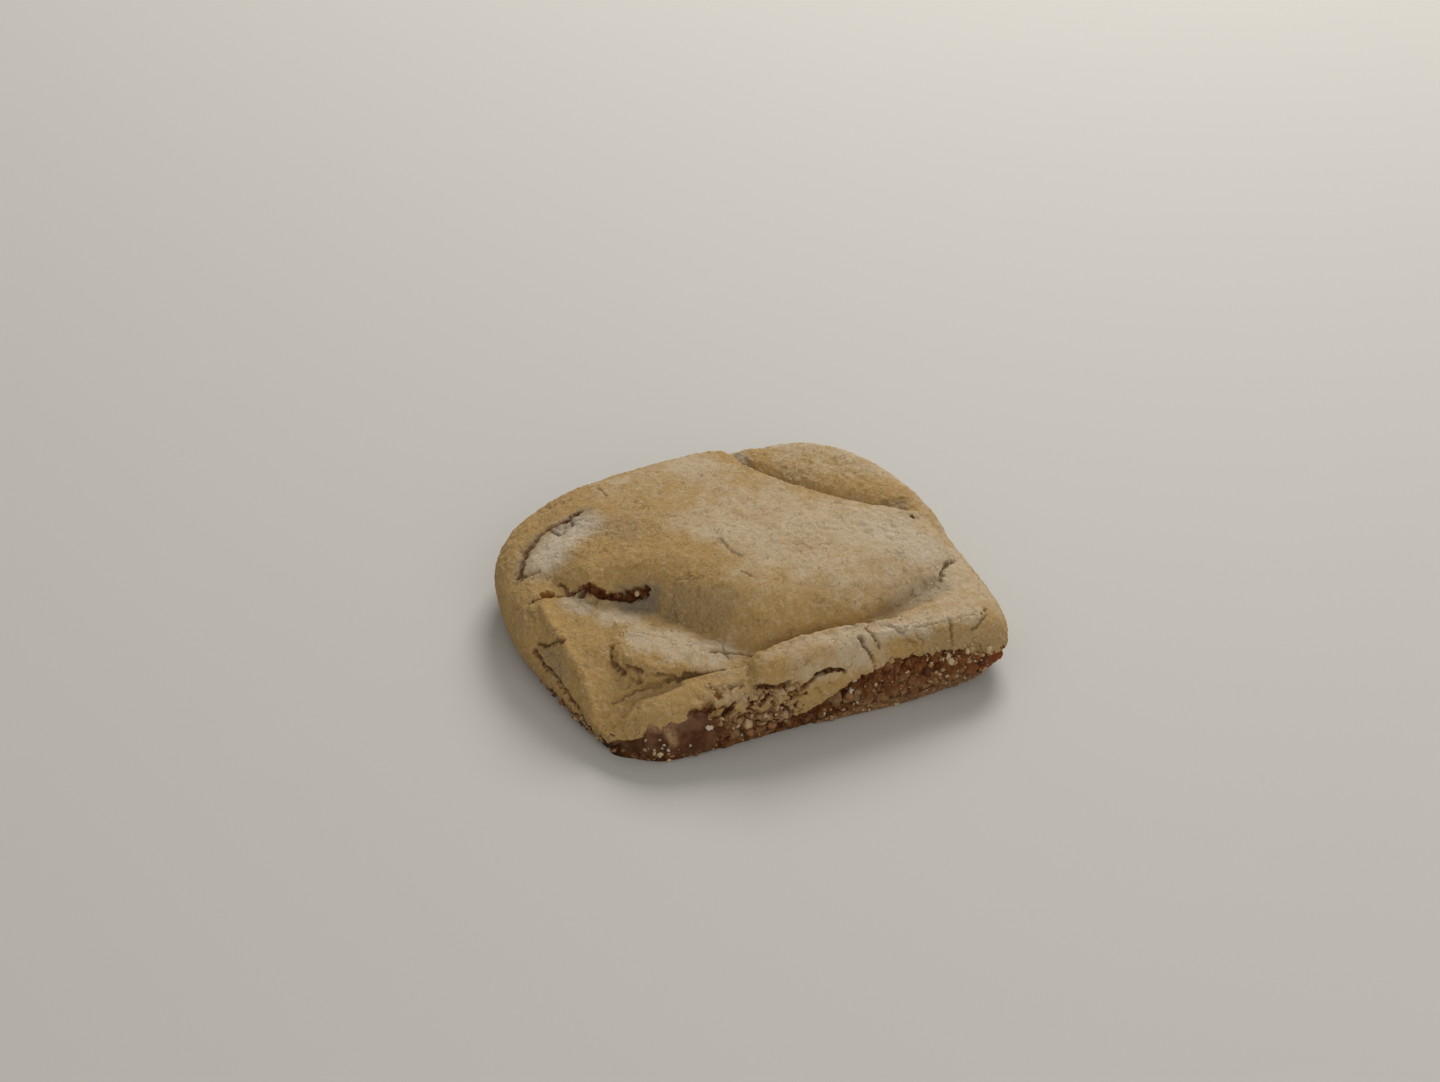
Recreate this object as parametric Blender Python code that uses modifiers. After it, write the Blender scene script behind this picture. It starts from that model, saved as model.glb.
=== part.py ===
"""A square cookie: pale dough folded round a chocolate filling that shows along the front side.

The dough is one piece. On top it bulges into a pillow that ends in a deep valley at the front, with a
rolled rim along the front side, a lobe behind a fold at the back right, and a low pinched corner at the
near left. The filling is a layer that runs through the cookie: it reaches the ground at the near left and
lies on a thin base of dough elsewhere.

X runs along the front side, Y to the back and Z up. The origin is on the ground, under the middle of the
cookie. Lengths are in millimetres up to the point where a mesh is made.
"""

import math

import bpy
import numpy as np
from mathutils import Vector, noise

MM = 0.001

# Driving dimensions
FRONT_INSET = 0.5
HIDDEN_INSET = 9.0
INSIDE_TOP = 9.0
BASE_THICKNESS = 2.4
ROOF_THICKNESS = 2.0
LAYER_GAP = 0.4
POCKET_REACH = 3.0
LOAF_POINTS = 180
LAYER_POINTS = 96
LAYER_SHARES = (0.1, 0.5, 0.75, 0.85, 0.93, 1.0)
VOXEL = 0.8
LOAF_TRIANGLES = 9000
LEVEL = 0.01

# The side of the cookie, station by station, counter-clockwise from the near left corner: x, y at the
# widest level, the height of that level, how far the foot is tucked in, the width of the shoulder, and its
# roundness: 2 is a quarter of an ellipse, and towards 1 it turns into a straight slope with an edge on top
SIDE_STATIONS = (
    (-41.2, -24.6, 5.0, 2.8, 3.4, 1.3),
    (-36.8, -31.2, 4.4, 1.5, 6.0, 1.7),
    (-26.0, -34.6, 6.0, 1.4, 7.0, 2.0),
    (-5.0, -36.9, 8.5, 2.0, 5.0, 2.0),
    (17.0, -39.6, 7.0, 2.0, 4.6, 1.4),
    (32.0, -40.9, 6.5, 6.5, 5.6, 1.3),
    (39.6, -34.6, 7.5, 9.0, 6.5, 1.7),
    (43.1, -14.5, 8.0, 5.0, 8.0, 2.0),
    (44.2, 9.0, 8.0, 4.0, 7.0, 2.0),
    (36.2, 29.4, 8.0, 4.0, 7.0, 2.0),
    (17.5, 37.6, 7.5, 4.0, 7.0, 2.0),
    (-6.0, 41.1, 8.0, 4.0, 9.0, 2.0),
    (-26.0, 39.3, 8.0, 4.0, 9.0, 2.0),
    (-39.5, 27.5, 8.0, 4.0, 9.0, 2.0),
    (-44.8, 8.0, 8.0, 4.0, 7.0, 1.8),
    (-43.4, -12.0, 7.0, 3.0, 3.6, 1.25),
)

# The lowest sheet of dough on top: its height, and how it sinks towards the near left corner
SHEET_HEIGHT = 13.2
SHEET_LEFT_RISE = 1.2
PINCH_CENTRE = (-45.0, -33.0)
PINCH_RADIUS = 17.0
PINCH_DEPTH = 12.0

# Folds that lie on that sheet: crest height at the fold's middle, the middle, how fast the crest falls off
# along x and y, and the outline of the foot, with the width over which the edge rolls down to it
FOLDS = {
    "pillow": (21.3, (2.0, -2.0), (0.0025, 0.0030), (
        (-31.8, 2.6, 5.0), (-26.5, 1.0, 6.0), (-21.8, -3.6, 9.0), (-19.0, -9.4, 11.0), (-16.2, -15.2, 12.0),
        (-13.6, -20.6, 12.0), (-9.6, -25.4, 12.0), (-3.0, -27.2, 12.0), (4.0, -27.8, 12.0),
        (11.0, -28.8, 12.0), (16.0, -27.4, 12.0), (22.0, -26.0, 12.0), (31.0, -24.0, 12.0),
        (38.0, -17.0, 12.0), (41.5, -9.0, 12.0), (42.0, -2.0, 10.0), (36.0, -1.6, 6.0), (29.4, 0.8, 3.0),
        (23.0, 6.2, 2.0), (18.4, 14.0, 2.0), (15.6, 22.6, 2.0), (15.8, 31.0, 3.0), (18.0, 52.0, 10.0),
        (-20.0, 56.0, 13.0), (-29.0, 34.0, 13.0), (-34.5, 23.5, 13.0), (-39.5, 15.5, 13.0),
        (-36.0, 9.5, 10.0),
    )),
    "lobe": (17.3, (34.0, 12.0), (0.0016, 0.0022), (
        (8.5, 46.0, 3.0), (12.4, 33.0, 3.0), (18.2, 20.6, 6.0), (23.0, 11.0, 7.0), (28.2, 4.0, 7.0),
        (34.0, -3.0, 7.0), (41.0, -8.0, 8.0), (56.0, -8.0, 8.0), (54.0, 36.0, 7.0), (30.0, 54.0, 7.0),
        (18.0, 52.0, 7.0),
    )),
    "front rim": (16.2, (2.0, -32.0), (0.0028, 0.02), (
        (-13.5, -28.0, 3.0), (-8.0, -27.8, 1.8), (-3.0, -28.0, 1.5), (4.0, -28.6, 1.4), (10.0, -30.2, 1.4),
        (14.0, -30.4, 1.8), (18.0, -28.4, 3.0), (26.0, -27.0, 4.0), (36.0, -23.0, 6.0), (56.0, -20.0, 6.0),
        (56.0, -56.0, 4.5), (-16.0, -56.0, 4.5), (-17.0, -40.0, 4.5),
    )),
    "tongue": (13.8, (-23.0, -14.0), (0.006, 0.011), (
        (-33.2, -9.0, 4.0), (-34.2, -13.5, 2.0), (-33.6, -16.6, 1.8), (-31.8, -20.2, 1.8),
        (-29.4, -22.4, 1.8), (-25.4, -24.2, 1.8), (-20.6, -26.0, 1.8), (-15.6, -28.0, 2.0),
        (-9.0, -26.0, 5.0), (-11.0, -17.0, 8.0), (-17.0, -10.0, 10.0), (-24.0, -5.0, 10.0),
        (-31.0, -5.0, 8.0),
    )),
    "lower flap": (12.2, (-19.0, -28.0), (0.014, 0.01), (
        (-40.0, -24.6, 3.0), (-34.0, -22.4, 3.0), (-29.0, -24.2, 3.0), (-21.0, -25.4, 3.0),
        (-13.0, -27.6, 3.0), (-10.0, -34.0, 3.0), (-12.0, -56.0, 3.0), (-56.0, -56.0, 3.0),
        (-56.0, -28.0, 3.0),
    )),
}
FOLD_BLEND = 0.5
FOLD_SINK = 1.8

# Cracks in the top: half width, depth, and the line in plan
TOP_CRACKS = {
    "split": (0.9, 2.4, ((-32.0, 4.0), (-29.5, 3.1), (-26.8, 1.7), (-24.0, 0.1), (-21.2, -1.8))),
    "split's tail": (0.7, 1.5, ((-41.4, 6.2), (-38.8, 5.6), (-36.2, 5.7), (-33.7, 5.3), (-31.4, 4.4))),
    "seam": (1.0, 1.0, (
        (-39.5, 16.0), (-37.3, 19.6), (-35.2, 22.1), (-31.7, 24.5), (-29.0, 25.6), (-25.4, 25.0),
        (-22.0, 25.2),
    )),
    "end of the fold": (0.6, 0.8, (
        (38.8, -17.6), (36.6, -18.3), (34.6, -20.0), (33.1, -21.6), (31.6, -23.1),
    )),
    "tongue's crease": (0.7, 1.0, (
        (-32.8, -10.8), (-34.0, -13.4), (-33.8, -15.6), (-32.9, -17.4), (-31.7, -19.8), (-29.8, -21.9),
        (-26.6, -23.7), (-22.4, -25.0), (-17.7, -27.2),
    )),
}

# Cracks in the front side: half width, depth, and the line as x along the side and height
FRONT_CRACKS = {
    "long crack": (0.8, 2.2, (
        (-9.0, 9.2), (-8.1, 9.6), (-6.9, 10.3), (-4.7, 11.6), (-3.3, 12.5), (-0.3, 12.7), (2.1, 11.7),
    )),
    "low crack": (0.7, 2.2, ((-7.3, 4.0), (-4.3, 4.9), (-1.8, 6.5), (1.0, 8.0), (3.8, 9.5))),
    "pit": (1.0, 2.0, ((-12.1, 12.1), (-10.9, 12.4), (-9.4, 12.4))),
    "left pit": (0.8, 1.2, ((-22.0, 11.8), (-20.0, 12.2), (-17.9, 12.1))),
    "gap at the left": (1.2, 1.2, ((-27.0, 9.8), (-25.0, 10.2), (-23.2, 10.5))),
    "short crack": (0.7, 1.4, ((-15.6, 6.8), (-15.6, 8.5), (-14.4, 10.0))),
}

# Crumbly relief: its size across, its depth on the broken front side and on the smooth top
CRUMB_SIZE = 2.6
FRONT_RELIEF = 0.7
TOP_RELIEF = 0.15

# The line on the front side where the dough ends and the filling shows: x and height
FILLING_EDGE = (
    (-41.0, 4.0), (-38.0, 6.0), (-35.0, 7.1), (-32.6, 7.6), (-31.0, 8.6), (-28.0, 9.5), (-25.5, 9.1),
    (-22.0, 7.8), (-19.0, 6.8), (-12.0, 6.2), (-4.0, 6.2), (0.0, 7.6), (5.0, 9.9), (12.0, 10.9),
    (23.0, 10.4), (27.0, 9.3), (31.5, 7.2), (36.0, 6.2), (41.0, 5.4),
)
# The filling's underside on the front side: x and height
FILLING_FOOT = ((-4.0, 0.0), (3.0, 2.2), (21.0, 2.4), (26.0, 3.6), (41.0, 4.0))

# Stretches, from nothing to all: where the edge that shows gives way to the level inside, along y and x,
# and the same for the underside along y, which is slanted at the near left corner
EDGE_FADE_Y = (-33.0, -24.0)
EDGE_FADE_X = (-40.0, -33.0)
FOOT_FADE_Y = (-33.0, -29.5)
CORNER_FROM = -32.0
CORNER_SLANT = 0.9

# Where the filling comes out to the side: how much the side has turned to the front, and how far forward
# it is
SHOWN_TURN = (0.15, 0.6)
SHOWN_FORWARD = (20.0, 26.0)

# Where cracks and relief are cut: the slope of the top, the slope of the front side and how far forward it
# is, the broken stretch along x, how much of its relief is lost beyond it, and the height over the ground
TOP_SLOPE = (0.2, 0.5)
FRONT_SLOPE = (0.1, 0.4)
FRONT_FORWARD = (26.0, 31.0)
BROKEN_FROM = (-34.0, -20.0)
BROKEN_TO = (6.0, 14.0)
BROKEN_LOSS = 0.7
OVER_GROUND = (0.3, 1.5)

COLOURS = {"dough": (0.47, 0.33, 0.18), "filling": (0.10, 0.045, 0.022)}
ROUGHNESS = {"dough": 0.75, "filling": 0.55}


def smooth_step(value, low, high):
    """0 below low, 1 above high, and a smooth rise between."""
    t = np.clip((value - low) / (high - low), 0.0, 1.0)
    return t * t * (3.0 - 2.0 * t)


def smooth_max(first, second, blend):
    """The larger of two heights, with the corner between them rounded."""
    share = np.clip(0.5 + 0.5 * (second - first) / blend, 0.0, 1.0)
    return first * (1.0 - share) + second * share + blend * share * (1.0 - share)


def closed_curve(points, count):
    """Closed Catmull-Rom curve through the points, with every column interpolated alike."""
    table = np.array(points, float)
    along = np.arange(count) * len(table) / count
    start = along.astype(int)
    t = (along - start)[:, None]
    before, here, after, beyond = (table[(start + step) % len(table)] for step in (-1, 0, 1, 2))
    return 0.5 * (
        2.0 * here
        + (after - before) * t
        + (2.0 * before - 5.0 * here + 4.0 * after - beyond) * t**2
        + (3.0 * here - before - 3.0 * after + beyond) * t**3
    )


def distance_to_line(points, line):
    """Shortest distance from each point of the plane to a line of straight stretches."""
    return nearest_on_line(points, np.array(line, float))[0]


def nearest_on_line(points, line):
    """Distance from each point of the plane to a line, and the line's other columns where it is nearest."""
    distance = np.full(len(points), np.inf)
    values = np.zeros((len(points), line.shape[1] - 2))
    for start, end in zip(line[:-1], line[1:]):
        stretch = end[:2] - start[:2]
        t = np.clip((points - start[:2]) @ stretch / (stretch @ stretch), 0.0, 1.0)[:, None]
        away = np.linalg.norm(points - start[:2] - t * stretch, axis=1)
        closer = away < distance
        distance = np.where(closer, away, distance)
        values = np.where(closer[:, None], start[2:] + t * (end[2:] - start[2:]), values)
    return distance, values


def is_inside(points, outline):
    inside = np.zeros(len(points), bool)
    for start, end in zip(outline[:-1], outline[1:]):
        spans = (start[1] > points[:, 1]) != (end[1] > points[:, 1])
        rise = end[1] - start[1] if end[1] != start[1] else 1e-9
        inside ^= spans & (points[:, 0] < start[0] + (points[:, 1] - start[1]) / rise * (end[0] - start[0]))
    return inside


def top_height(plan):
    """Height of the cookie's top over each point of the plan."""
    x, y = plan.T
    from_pinch = np.linalg.norm(plan - np.array(PINCH_CENTRE), axis=1)
    rise = SHEET_LEFT_RISE * smooth_step(-x, -10.0, 35.0) * smooth_step(y, -16.0, 12.0)
    sheet = SHEET_HEIGHT + rise
    sheet = sheet - PINCH_DEPTH * np.exp(-((from_pinch / PINCH_RADIUS) ** 2))
    height = sheet
    for crest, middle, fall, foot in FOLDS.values():
        outline = closed_curve(foot, 6 * len(foot))
        outline = np.vstack([outline, outline[:1]])
        depth, roll = nearest_on_line(plan, outline)
        crest = crest - (plan - np.array(middle)) ** 2 @ np.array(fall)
        bend = 1.0 - np.clip(depth / roll[:, 0], 0.0, 1.0)
        low = sheet - FOLD_SINK
        raised = low + np.maximum(crest - low, 0.0) * np.sqrt(1.0 - bend**2)
        height = np.where(is_inside(plan, outline), smooth_max(height, raised, FOLD_BLEND), height)
    return height


def filling_top(plan):
    """Height of the filling's top: the edge that shows at the front, and level inside."""
    edge = np.interp(plan[:, 0], *np.array(FILLING_EDGE).T)
    inside = smooth_step(plan[:, 1], *EDGE_FADE_Y) * smooth_step(plan[:, 0], *EDGE_FADE_X)
    return np.minimum(edge + (INSIDE_TOP - edge) * inside, top_height(plan) - ROOF_THICKNESS)


def filling_bottom(plan):
    """Height of the filling's underside: on the ground at the near left, on the base of dough elsewhere."""
    foot = np.interp(plan[:, 0], *np.array(FILLING_FOOT).T)
    back = plan[:, 1] - CORNER_SLANT * np.maximum(CORNER_FROM - plan[:, 0], 0.0)
    return foot + (BASE_THICKNESS - foot) * smooth_step(back, *FOOT_FADE_Y)


def inward_of(plan):
    """Unit vectors in the plane, pointing into a closed counter-clockwise outline."""
    along = np.roll(plan, -1, axis=0) - np.roll(plan, 1, axis=0)
    inward = np.stack([-along[:, 1], along[:, 0]], axis=1)
    return inward / np.linalg.norm(inward, axis=1)[:, None]


def mesh_of_rings(name, rings):
    """Closed body through rings of equally many points, from the underside's middle to the top's."""
    count = len(rings[0])
    faces = [tuple(reversed(range(count)))]
    for low in range(0, (len(rings) - 1) * count, count):
        high = low + count
        faces += [(low + i, low + (i + 1) % count, high + (i + 1) % count, high + i) for i in range(count)]
    faces.append(tuple(range((len(rings) - 1) * count, len(rings) * count)))
    mesh = bpy.data.meshes.new(name)
    mesh.from_pydata((np.concatenate(rings) * MM).tolist(), [], faces)
    mesh.update()
    return bpy.data.objects.new(name, mesh)


def flat_rings(line, shares, height):
    """Rings that close in on the middle of a line in plan, at the heights that a function gives."""
    middle = line.mean(axis=0)
    spots = [middle + (line - middle) * share for share in shares]
    return [np.column_stack([spot, height(spot)]) for spot in spots]


def side_line(count):
    """The side as a closed line in plan, the directions into it, and its profile: the stations' other
    columns and the height of the top."""
    side = closed_curve(SIDE_STATIONS, count)
    plan, (belt, tuck, shoulder, roundness) = side[:, :2], side[:, 2:].T
    inward = inward_of(plan)
    top = top_height(plan + inward * shoulder[:, None])
    return plan, inward, belt, tuck, shoulder, roundness, top


def side_inset(height, belt, tuck, shoulder, roundness, top):
    """How far the side has drawn in at a height: under the belt to the foot, over it to the shoulder."""
    under = np.clip((belt - height) / belt, 0.0, 1.0)
    over = np.clip((height - belt) / (top - belt), 0.0, 1.0)
    drawn_in = 1.0 - (1.0 - over**roundness) ** (1.0 / roundness)
    return tuck * (1.0 - np.sqrt(1.0 - under**2)) + shoulder * drawn_in


def make_loaf(name):
    """The whole cookie as one body, with the folds of its top."""
    plan, inward, belt, tuck, shoulder, roundness, _ = side_line(LOAF_POINTS)
    foot = plan + inward * tuck[:, None]
    rings = flat_rings(foot, np.linspace(0.05, 1.0, 12), lambda spot: np.zeros(len(spot)))
    for angle in np.linspace(0.0, math.pi / 2, 9)[1:]:
        spot = plan + inward * (tuck * (1.0 - math.sin(angle)))[:, None]
        rings.append(np.column_stack([spot, belt * (1.0 - math.cos(angle))]))
    for angle in np.linspace(0.0, math.pi / 2, 17)[1:]:
        across = 1.0 - max(math.cos(angle), 0.0) ** (2.0 / roundness)
        up = math.sin(angle) ** (2.0 / roundness)
        spot = plan + inward * (shoulder * across)[:, None]
        rings.append(np.column_stack([spot, belt + (top_height(spot) - belt) * up]))
    rings += flat_rings(plan + inward * shoulder[:, None], np.linspace(1.0, 0.02, 60)[1:], top_height)
    return mesh_of_rings(name, rings)


def make_layer(name, gap, reach):
    """The filling, or with a gap and a reach its pocket: grown all round and pushed out at the front."""
    plan, inward, *profile = side_line(LAYER_POINTS)
    shown = smooth_step(inward[:, 1], *SHOWN_TURN) * smooth_step(-plan[:, 1], *SHOWN_FORWARD)
    growth = gap + (reach - gap) * shown

    def place(height, grown):
        face = side_inset(height, *profile) + FRONT_INSET
        return plan + inward * (HIDDEN_INSET + (face - HIDDEN_INSET) * shown - grown)[:, None]

    spot = place(np.zeros(len(plan)), 0.0)
    low, high = filling_bottom(spot), filling_top(spot)
    walls = []
    for share in np.linspace(0.0, 1.0, 6):
        height = low - gap + (high - low + 2.0 * gap) * share
        walls.append(np.column_stack([place(height, growth), height]))
    if gap == 0.0:
        walls = walls[1:-1]
    under = flat_rings(place(low, 0.0), LAYER_SHARES, lambda spot: filling_bottom(spot) - gap)
    above = flat_rings(place(high, 0.0), LAYER_SHARES[::-1], lambda spot: filling_top(spot) + gap)
    return mesh_of_rings(name, under + walls + above)


def read_points(mesh):
    points = np.empty(len(mesh.vertices) * 3)
    mesh.vertices.foreach_get("co", points)
    normals = np.empty(len(mesh.vertices) * 3)
    mesh.vertices.foreach_get("normal", normals)
    return points.reshape(-1, 3) / MM, normals.reshape(-1, 3)


def write_points(mesh, points):
    mesh.vertices.foreach_set("co", (points * MM).ravel())
    mesh.update()


def bake(obj):
    """Apply the object's modifiers."""
    evaluated = obj.evaluated_get(bpy.context.evaluated_depsgraph_get())
    mesh = bpy.data.meshes.new_from_object(evaluated)
    obj.modifiers.clear()
    obj.data = mesh


def remesh(obj, voxel):
    """Replace the object's mesh with an even one."""
    modifier = obj.modifiers.new("Even mesh", "REMESH")
    modifier.mode = "VOXEL"
    modifier.voxel_size = voxel * MM
    bake(obj)


def carve(points, normals):
    """Depth of cracks and crumbly relief at each point, to be taken off along the normal."""
    plan, face = points[:, :2], points[:, [0, 2]]
    on_top = smooth_step(normals[:, 2], *TOP_SLOPE)
    on_front = smooth_step(-plan[:, 1], *FRONT_FORWARD) * smooth_step(-normals[:, 1], *FRONT_SLOPE)
    depth = np.zeros(len(points))
    for cracks, flat, mask in ((TOP_CRACKS, plan, on_top), (FRONT_CRACKS, face, on_front)):
        for half_width, crack_depth, line in cracks.values():
            across = np.clip(distance_to_line(flat, line) / half_width, 0.0, 1.0)
            depth = np.maximum(depth, crack_depth * (1.0 - across**2) ** 2 * mask)
    grain = np.array([noise.fractal(Vector(p) / CRUMB_SIZE, 1.0, 2.0, 3) for p in points])
    above_ground = smooth_step(points[:, 2], *OVER_GROUND)
    kept = 1.0 - BROKEN_LOSS * smooth_step(plan[:, 0], *BROKEN_TO)
    broken = on_front * smooth_step(plan[:, 0], *BROKEN_FROM) * kept
    relief = (TOP_RELIEF + (FRONT_RELIEF - TOP_RELIEF) * broken) * grain
    return (depth + relief) * above_ground


def add_material(obj):
    material = bpy.data.materials.new(obj.name)
    material.use_nodes = True
    shader = material.node_tree.nodes["Principled BSDF"]
    shader.inputs["Base Color"].default_value = (*COLOURS[obj.name], 1.0)
    shader.inputs["Roughness"].default_value = ROUGHNESS[obj.name]
    shader.inputs["Metallic"].default_value = 0.0
    obj.data.materials.clear()
    obj.data.materials.append(material)


def thin_out(obj, triangles):
    """Bring the object down to about this many triangles."""
    evaluated = obj.evaluated_get(bpy.context.evaluated_depsgraph_get())
    mesh = evaluated.to_mesh()
    mesh.calc_loop_triangles()
    ratio = triangles / len(mesh.loop_triangles)
    evaluated.to_mesh_clear()
    modifier = obj.modifiers.new("Thin out", "DECIMATE")
    modifier.use_collapse_triangulate = True
    modifier.ratio = min(1.0, ratio)
    bake(obj)


def level_base(obj):
    """Put every point that lies on the ground exactly on it."""
    points, _ = read_points(obj.data)
    points[points[:, 2] < LEVEL, 2] = 0.0
    write_points(obj.data, points)


def make_cookie():
    parts = bpy.data.collections.new("cookie")
    cutters = bpy.data.collections.new("cutters")
    for collection in (parts, cutters):
        bpy.context.scene.collection.children.link(collection)

    dough = make_loaf("dough")
    filling = make_layer("filling", 0.0, 0.0)
    pocket = make_layer("pocket", LAYER_GAP, POCKET_REACH)
    parts.objects.link(dough)
    parts.objects.link(filling)
    cutters.objects.link(pocket)
    pocket.hide_render = True
    pocket.display_type = "WIRE"

    remesh(dough, VOXEL)
    points, normals = read_points(dough.data)
    write_points(dough.data, points - normals * carve(points, normals)[:, None])
    thin_out(dough, LOAF_TRIANGLES)
    level_base(dough)
    cut = dough.modifiers.new("Pocket for the filling", "BOOLEAN")
    cut.operation = "DIFFERENCE"
    cut.object = pocket

    for obj in (dough, filling):
        add_material(obj)
        obj.data.shade_smooth()


def main():
    for obj in list(bpy.data.objects):
        bpy.data.objects.remove(obj)
    make_cookie()


main()
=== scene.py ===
"""The looks of a chocolate filled cookie: baked dough, the chocolate in it, crumbs and grains of sugar.

The dough and the filling are shaped by the same tables and functions as their solids, on a finer mesh and
with the cracks, clumps and wrinkles that the solids leave out. Masks kept on the meshes say where the dough
is browned or stained, where chocolate shows through it and where shade and highlights are painted on it, and
the materials turn them into colour.

X runs along the front side, Y to the back and Z up, with the origin on the ground under the middle of the
cookie. Lengths are in millimetres up to the point where a mesh is made.
"""

import math
import random

import bmesh
import bpy
import numpy as np
from mathutils import Euler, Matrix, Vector, noise
from mathutils.bvhtree import BVHTree


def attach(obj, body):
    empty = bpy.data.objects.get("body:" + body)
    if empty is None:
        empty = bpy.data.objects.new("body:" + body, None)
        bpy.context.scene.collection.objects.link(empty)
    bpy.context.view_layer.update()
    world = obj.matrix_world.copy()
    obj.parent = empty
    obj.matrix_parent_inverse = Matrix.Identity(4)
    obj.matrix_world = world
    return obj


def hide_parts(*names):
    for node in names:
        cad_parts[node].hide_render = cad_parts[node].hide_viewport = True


MM = 0.001
SEED = 7

# Driving dimensions: where the filling lies in the dough, and how fine the meshes are
FRONT_INSET = 0.5
HIDDEN_INSET = 9.0
INSIDE_TOP = 9.0
BASE_THICKNESS = 2.4
ROOF_THICKNESS = 2.0
CORNER_ROOF = 0.8
LAYER_OVERLAP = 0.15
POCKET_REACH = 1.6
UNDERCUT = 1.0
LOAF_POINTS = 420
LAYER_POINTS = 900
LAYER_SHARES = (0.1, 0.5, 0.75, 0.85, 0.93, 1.0)
LAYER_WALLS = 36
VOXEL = 0.28
DOUGH_TRIANGLES = 192000

# The side of the cookie, station by station, counter-clockwise from the near left corner: x, y at the
# widest level, the height of that level, how far the foot is tucked in, the width of the shoulder, and its
# roundness: 2 is a quarter of an ellipse, and towards 1 it turns into a straight slope with an edge on top
SIDE_STATIONS = (
    (-41.2, -24.6, 5, 2.8, 3.4, 1.3),
    (-36.8, -31.2, 4.4, 1.5, 6, 1.7),
    (-26, -34.6, 6, 1.4, 7, 2),
    (-5, -36.9, 8.5, 2, 5, 2),
    (17, -39.6, 7, 2, 4.6, 1.4),
    (32, -40.9, 6.5, 6.5, 5.6, 1.3),
    (39.6, -34.6, 7.5, 9, 6.5, 1.7),
    (43.1, -14.5, 8, 5, 8, 2),
    (44.2, 9, 8, 4, 7, 2),
    (36.2, 29.4, 8, 4, 7, 2),
    (17.5, 37.6, 7.5, 4, 7, 2),
    (-6, 41.1, 8, 4, 9, 2),
    (-26, 39.3, 8, 4, 9, 2),
    (-39.5, 27.5, 8, 4, 9, 2),
    (-44.8, 8, 8, 4, 7, 1.8),
    (-43.4, -12, 7, 3, 3.6, 1.25),
)

# The lowest sheet of dough on top: its height, and how it sinks towards the near left corner
SHEET_HEIGHT = 13.2
SHEET_LEFT_RISE = 1.2
PINCH_CENTRE = (-45, -33)
PINCH_RADIUS = 17.0
PINCH_DEPTH = 12.0

# Folds that lie on that sheet: crest height at the fold's middle, the middle, how fast the crest falls off
# along x and y, and the outline of the foot, with the width over which the edge rolls down to it
FOLDS = {
    "pillow": (21.3, (2, -2), (0.0025, 0.0030), (
        (-31.8, 2.6, 5), (-26.5, 1, 6), (-21.8, -3.6, 9), (-19, -9.4, 11), (-16.2, -15.2, 12),
        (-13.6, -20.6, 12), (-9.6, -25.4, 12), (-3, -27.2, 12), (4, -27.8, 12),
        (11, -28.8, 12), (16, -27.4, 12), (22, -26, 12), (31, -24, 12),
        (38, -17, 12), (41.5, -9, 12), (42, -2, 10), (36, -1.6, 6), (29.4, 0.8, 3),
        (23, 6.2, 2), (18.4, 14, 2), (15.6, 22.6, 2), (15.8, 31, 3), (18, 52, 10),
        (-20, 56, 13), (-29, 34, 13), (-34.5, 23.5, 13), (-39.5, 15.5, 13),
        (-36, 9.5, 10),
    )),
    "lobe": (17.3, (34, 12), (0.0016, 0.0022), (
        (8.5, 46, 3), (12.4, 33, 3), (18.2, 20.6, 6), (23, 11, 7), (28.2, 4, 7),
        (34, -3, 7), (41, -8, 8), (56, -8, 8), (54, 36, 7), (30, 54, 7),
        (18, 52, 7),
    )),
    "front rim": (16.2, (2, -32), (0.0028, 0.02), (
        (-13.5, -28, 3), (-8, -27.8, 1.8), (-3, -28, 1.5), (4, -28.6, 1.4), (10, -30.2, 1.4),
        (14, -30.4, 1.8), (18, -28.4, 3), (26, -27, 4), (36, -23, 6), (56, -20, 6),
        (56, -56, 4.5), (-16, -56, 4.5), (-17, -40, 4.5),
    )),
    "tongue": (13.8, (-23, -14), (0.006, 0.011), (
        (-33.2, -9, 4), (-34.2, -13.5, 2), (-33.6, -16.6, 1.8), (-31.8, -20.2, 1.8),
        (-29.4, -22.4, 1.8), (-25.4, -24.2, 1.8), (-20.6, -26, 1.8), (-15.6, -28, 2),
        (-9, -26, 5), (-11, -17, 8), (-17, -10, 10), (-24, -5, 10),
        (-31, -5, 8),
    )),
    "lower flap": (12.2, (-19, -28), (0.014, 0.01), (
        (-40, -24.6, 3), (-34, -22.4, 3), (-29, -24.2, 3), (-21, -25.4, 3),
        (-13, -27.6, 3), (-10, -34, 3), (-12, -56, 3), (-56, -56, 3),
        (-56, -28, 3),
    )),
}
FOLD_BLEND = 0.5
FOLD_SINK = 1.8

# The line on the front side where the dough ends and the filling shows: x and height
FILLING_EDGE = (
    (-41, 5.2), (-38, 6.8), (-35, 7.2), (-32.6, 7.4), (-31, 8.5), (-28, 9.5), (-25.5, 9.1),
    (-22, 7.8), (-19, 6.8), (-12, 6), (-9, 5.2), (-7.3, 4.5), (-5.6, 4.7), (-3.9, 5.4), (-2.3, 6.3),
    (-0.3, 7.3), (1.3, 8.2), (2.9, 9.1), (5, 9.9), (12, 10.9), (23, 10.4), (27, 9.3), (31.5, 7.2),
    (36, 6.2), (41, 5.4),
)
# The filling's underside on the front side: x and height
FILLING_FOOT = ((-4, 0), (3, 2.2), (21, 2.4), (26, 3.6), (41, 4))
CORNER_FROM = -32.0
CORNER_SLANT = 0.9
EDGE_JITTER = 0.5
EDGE_JITTER_SIZE = 1.4

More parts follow.
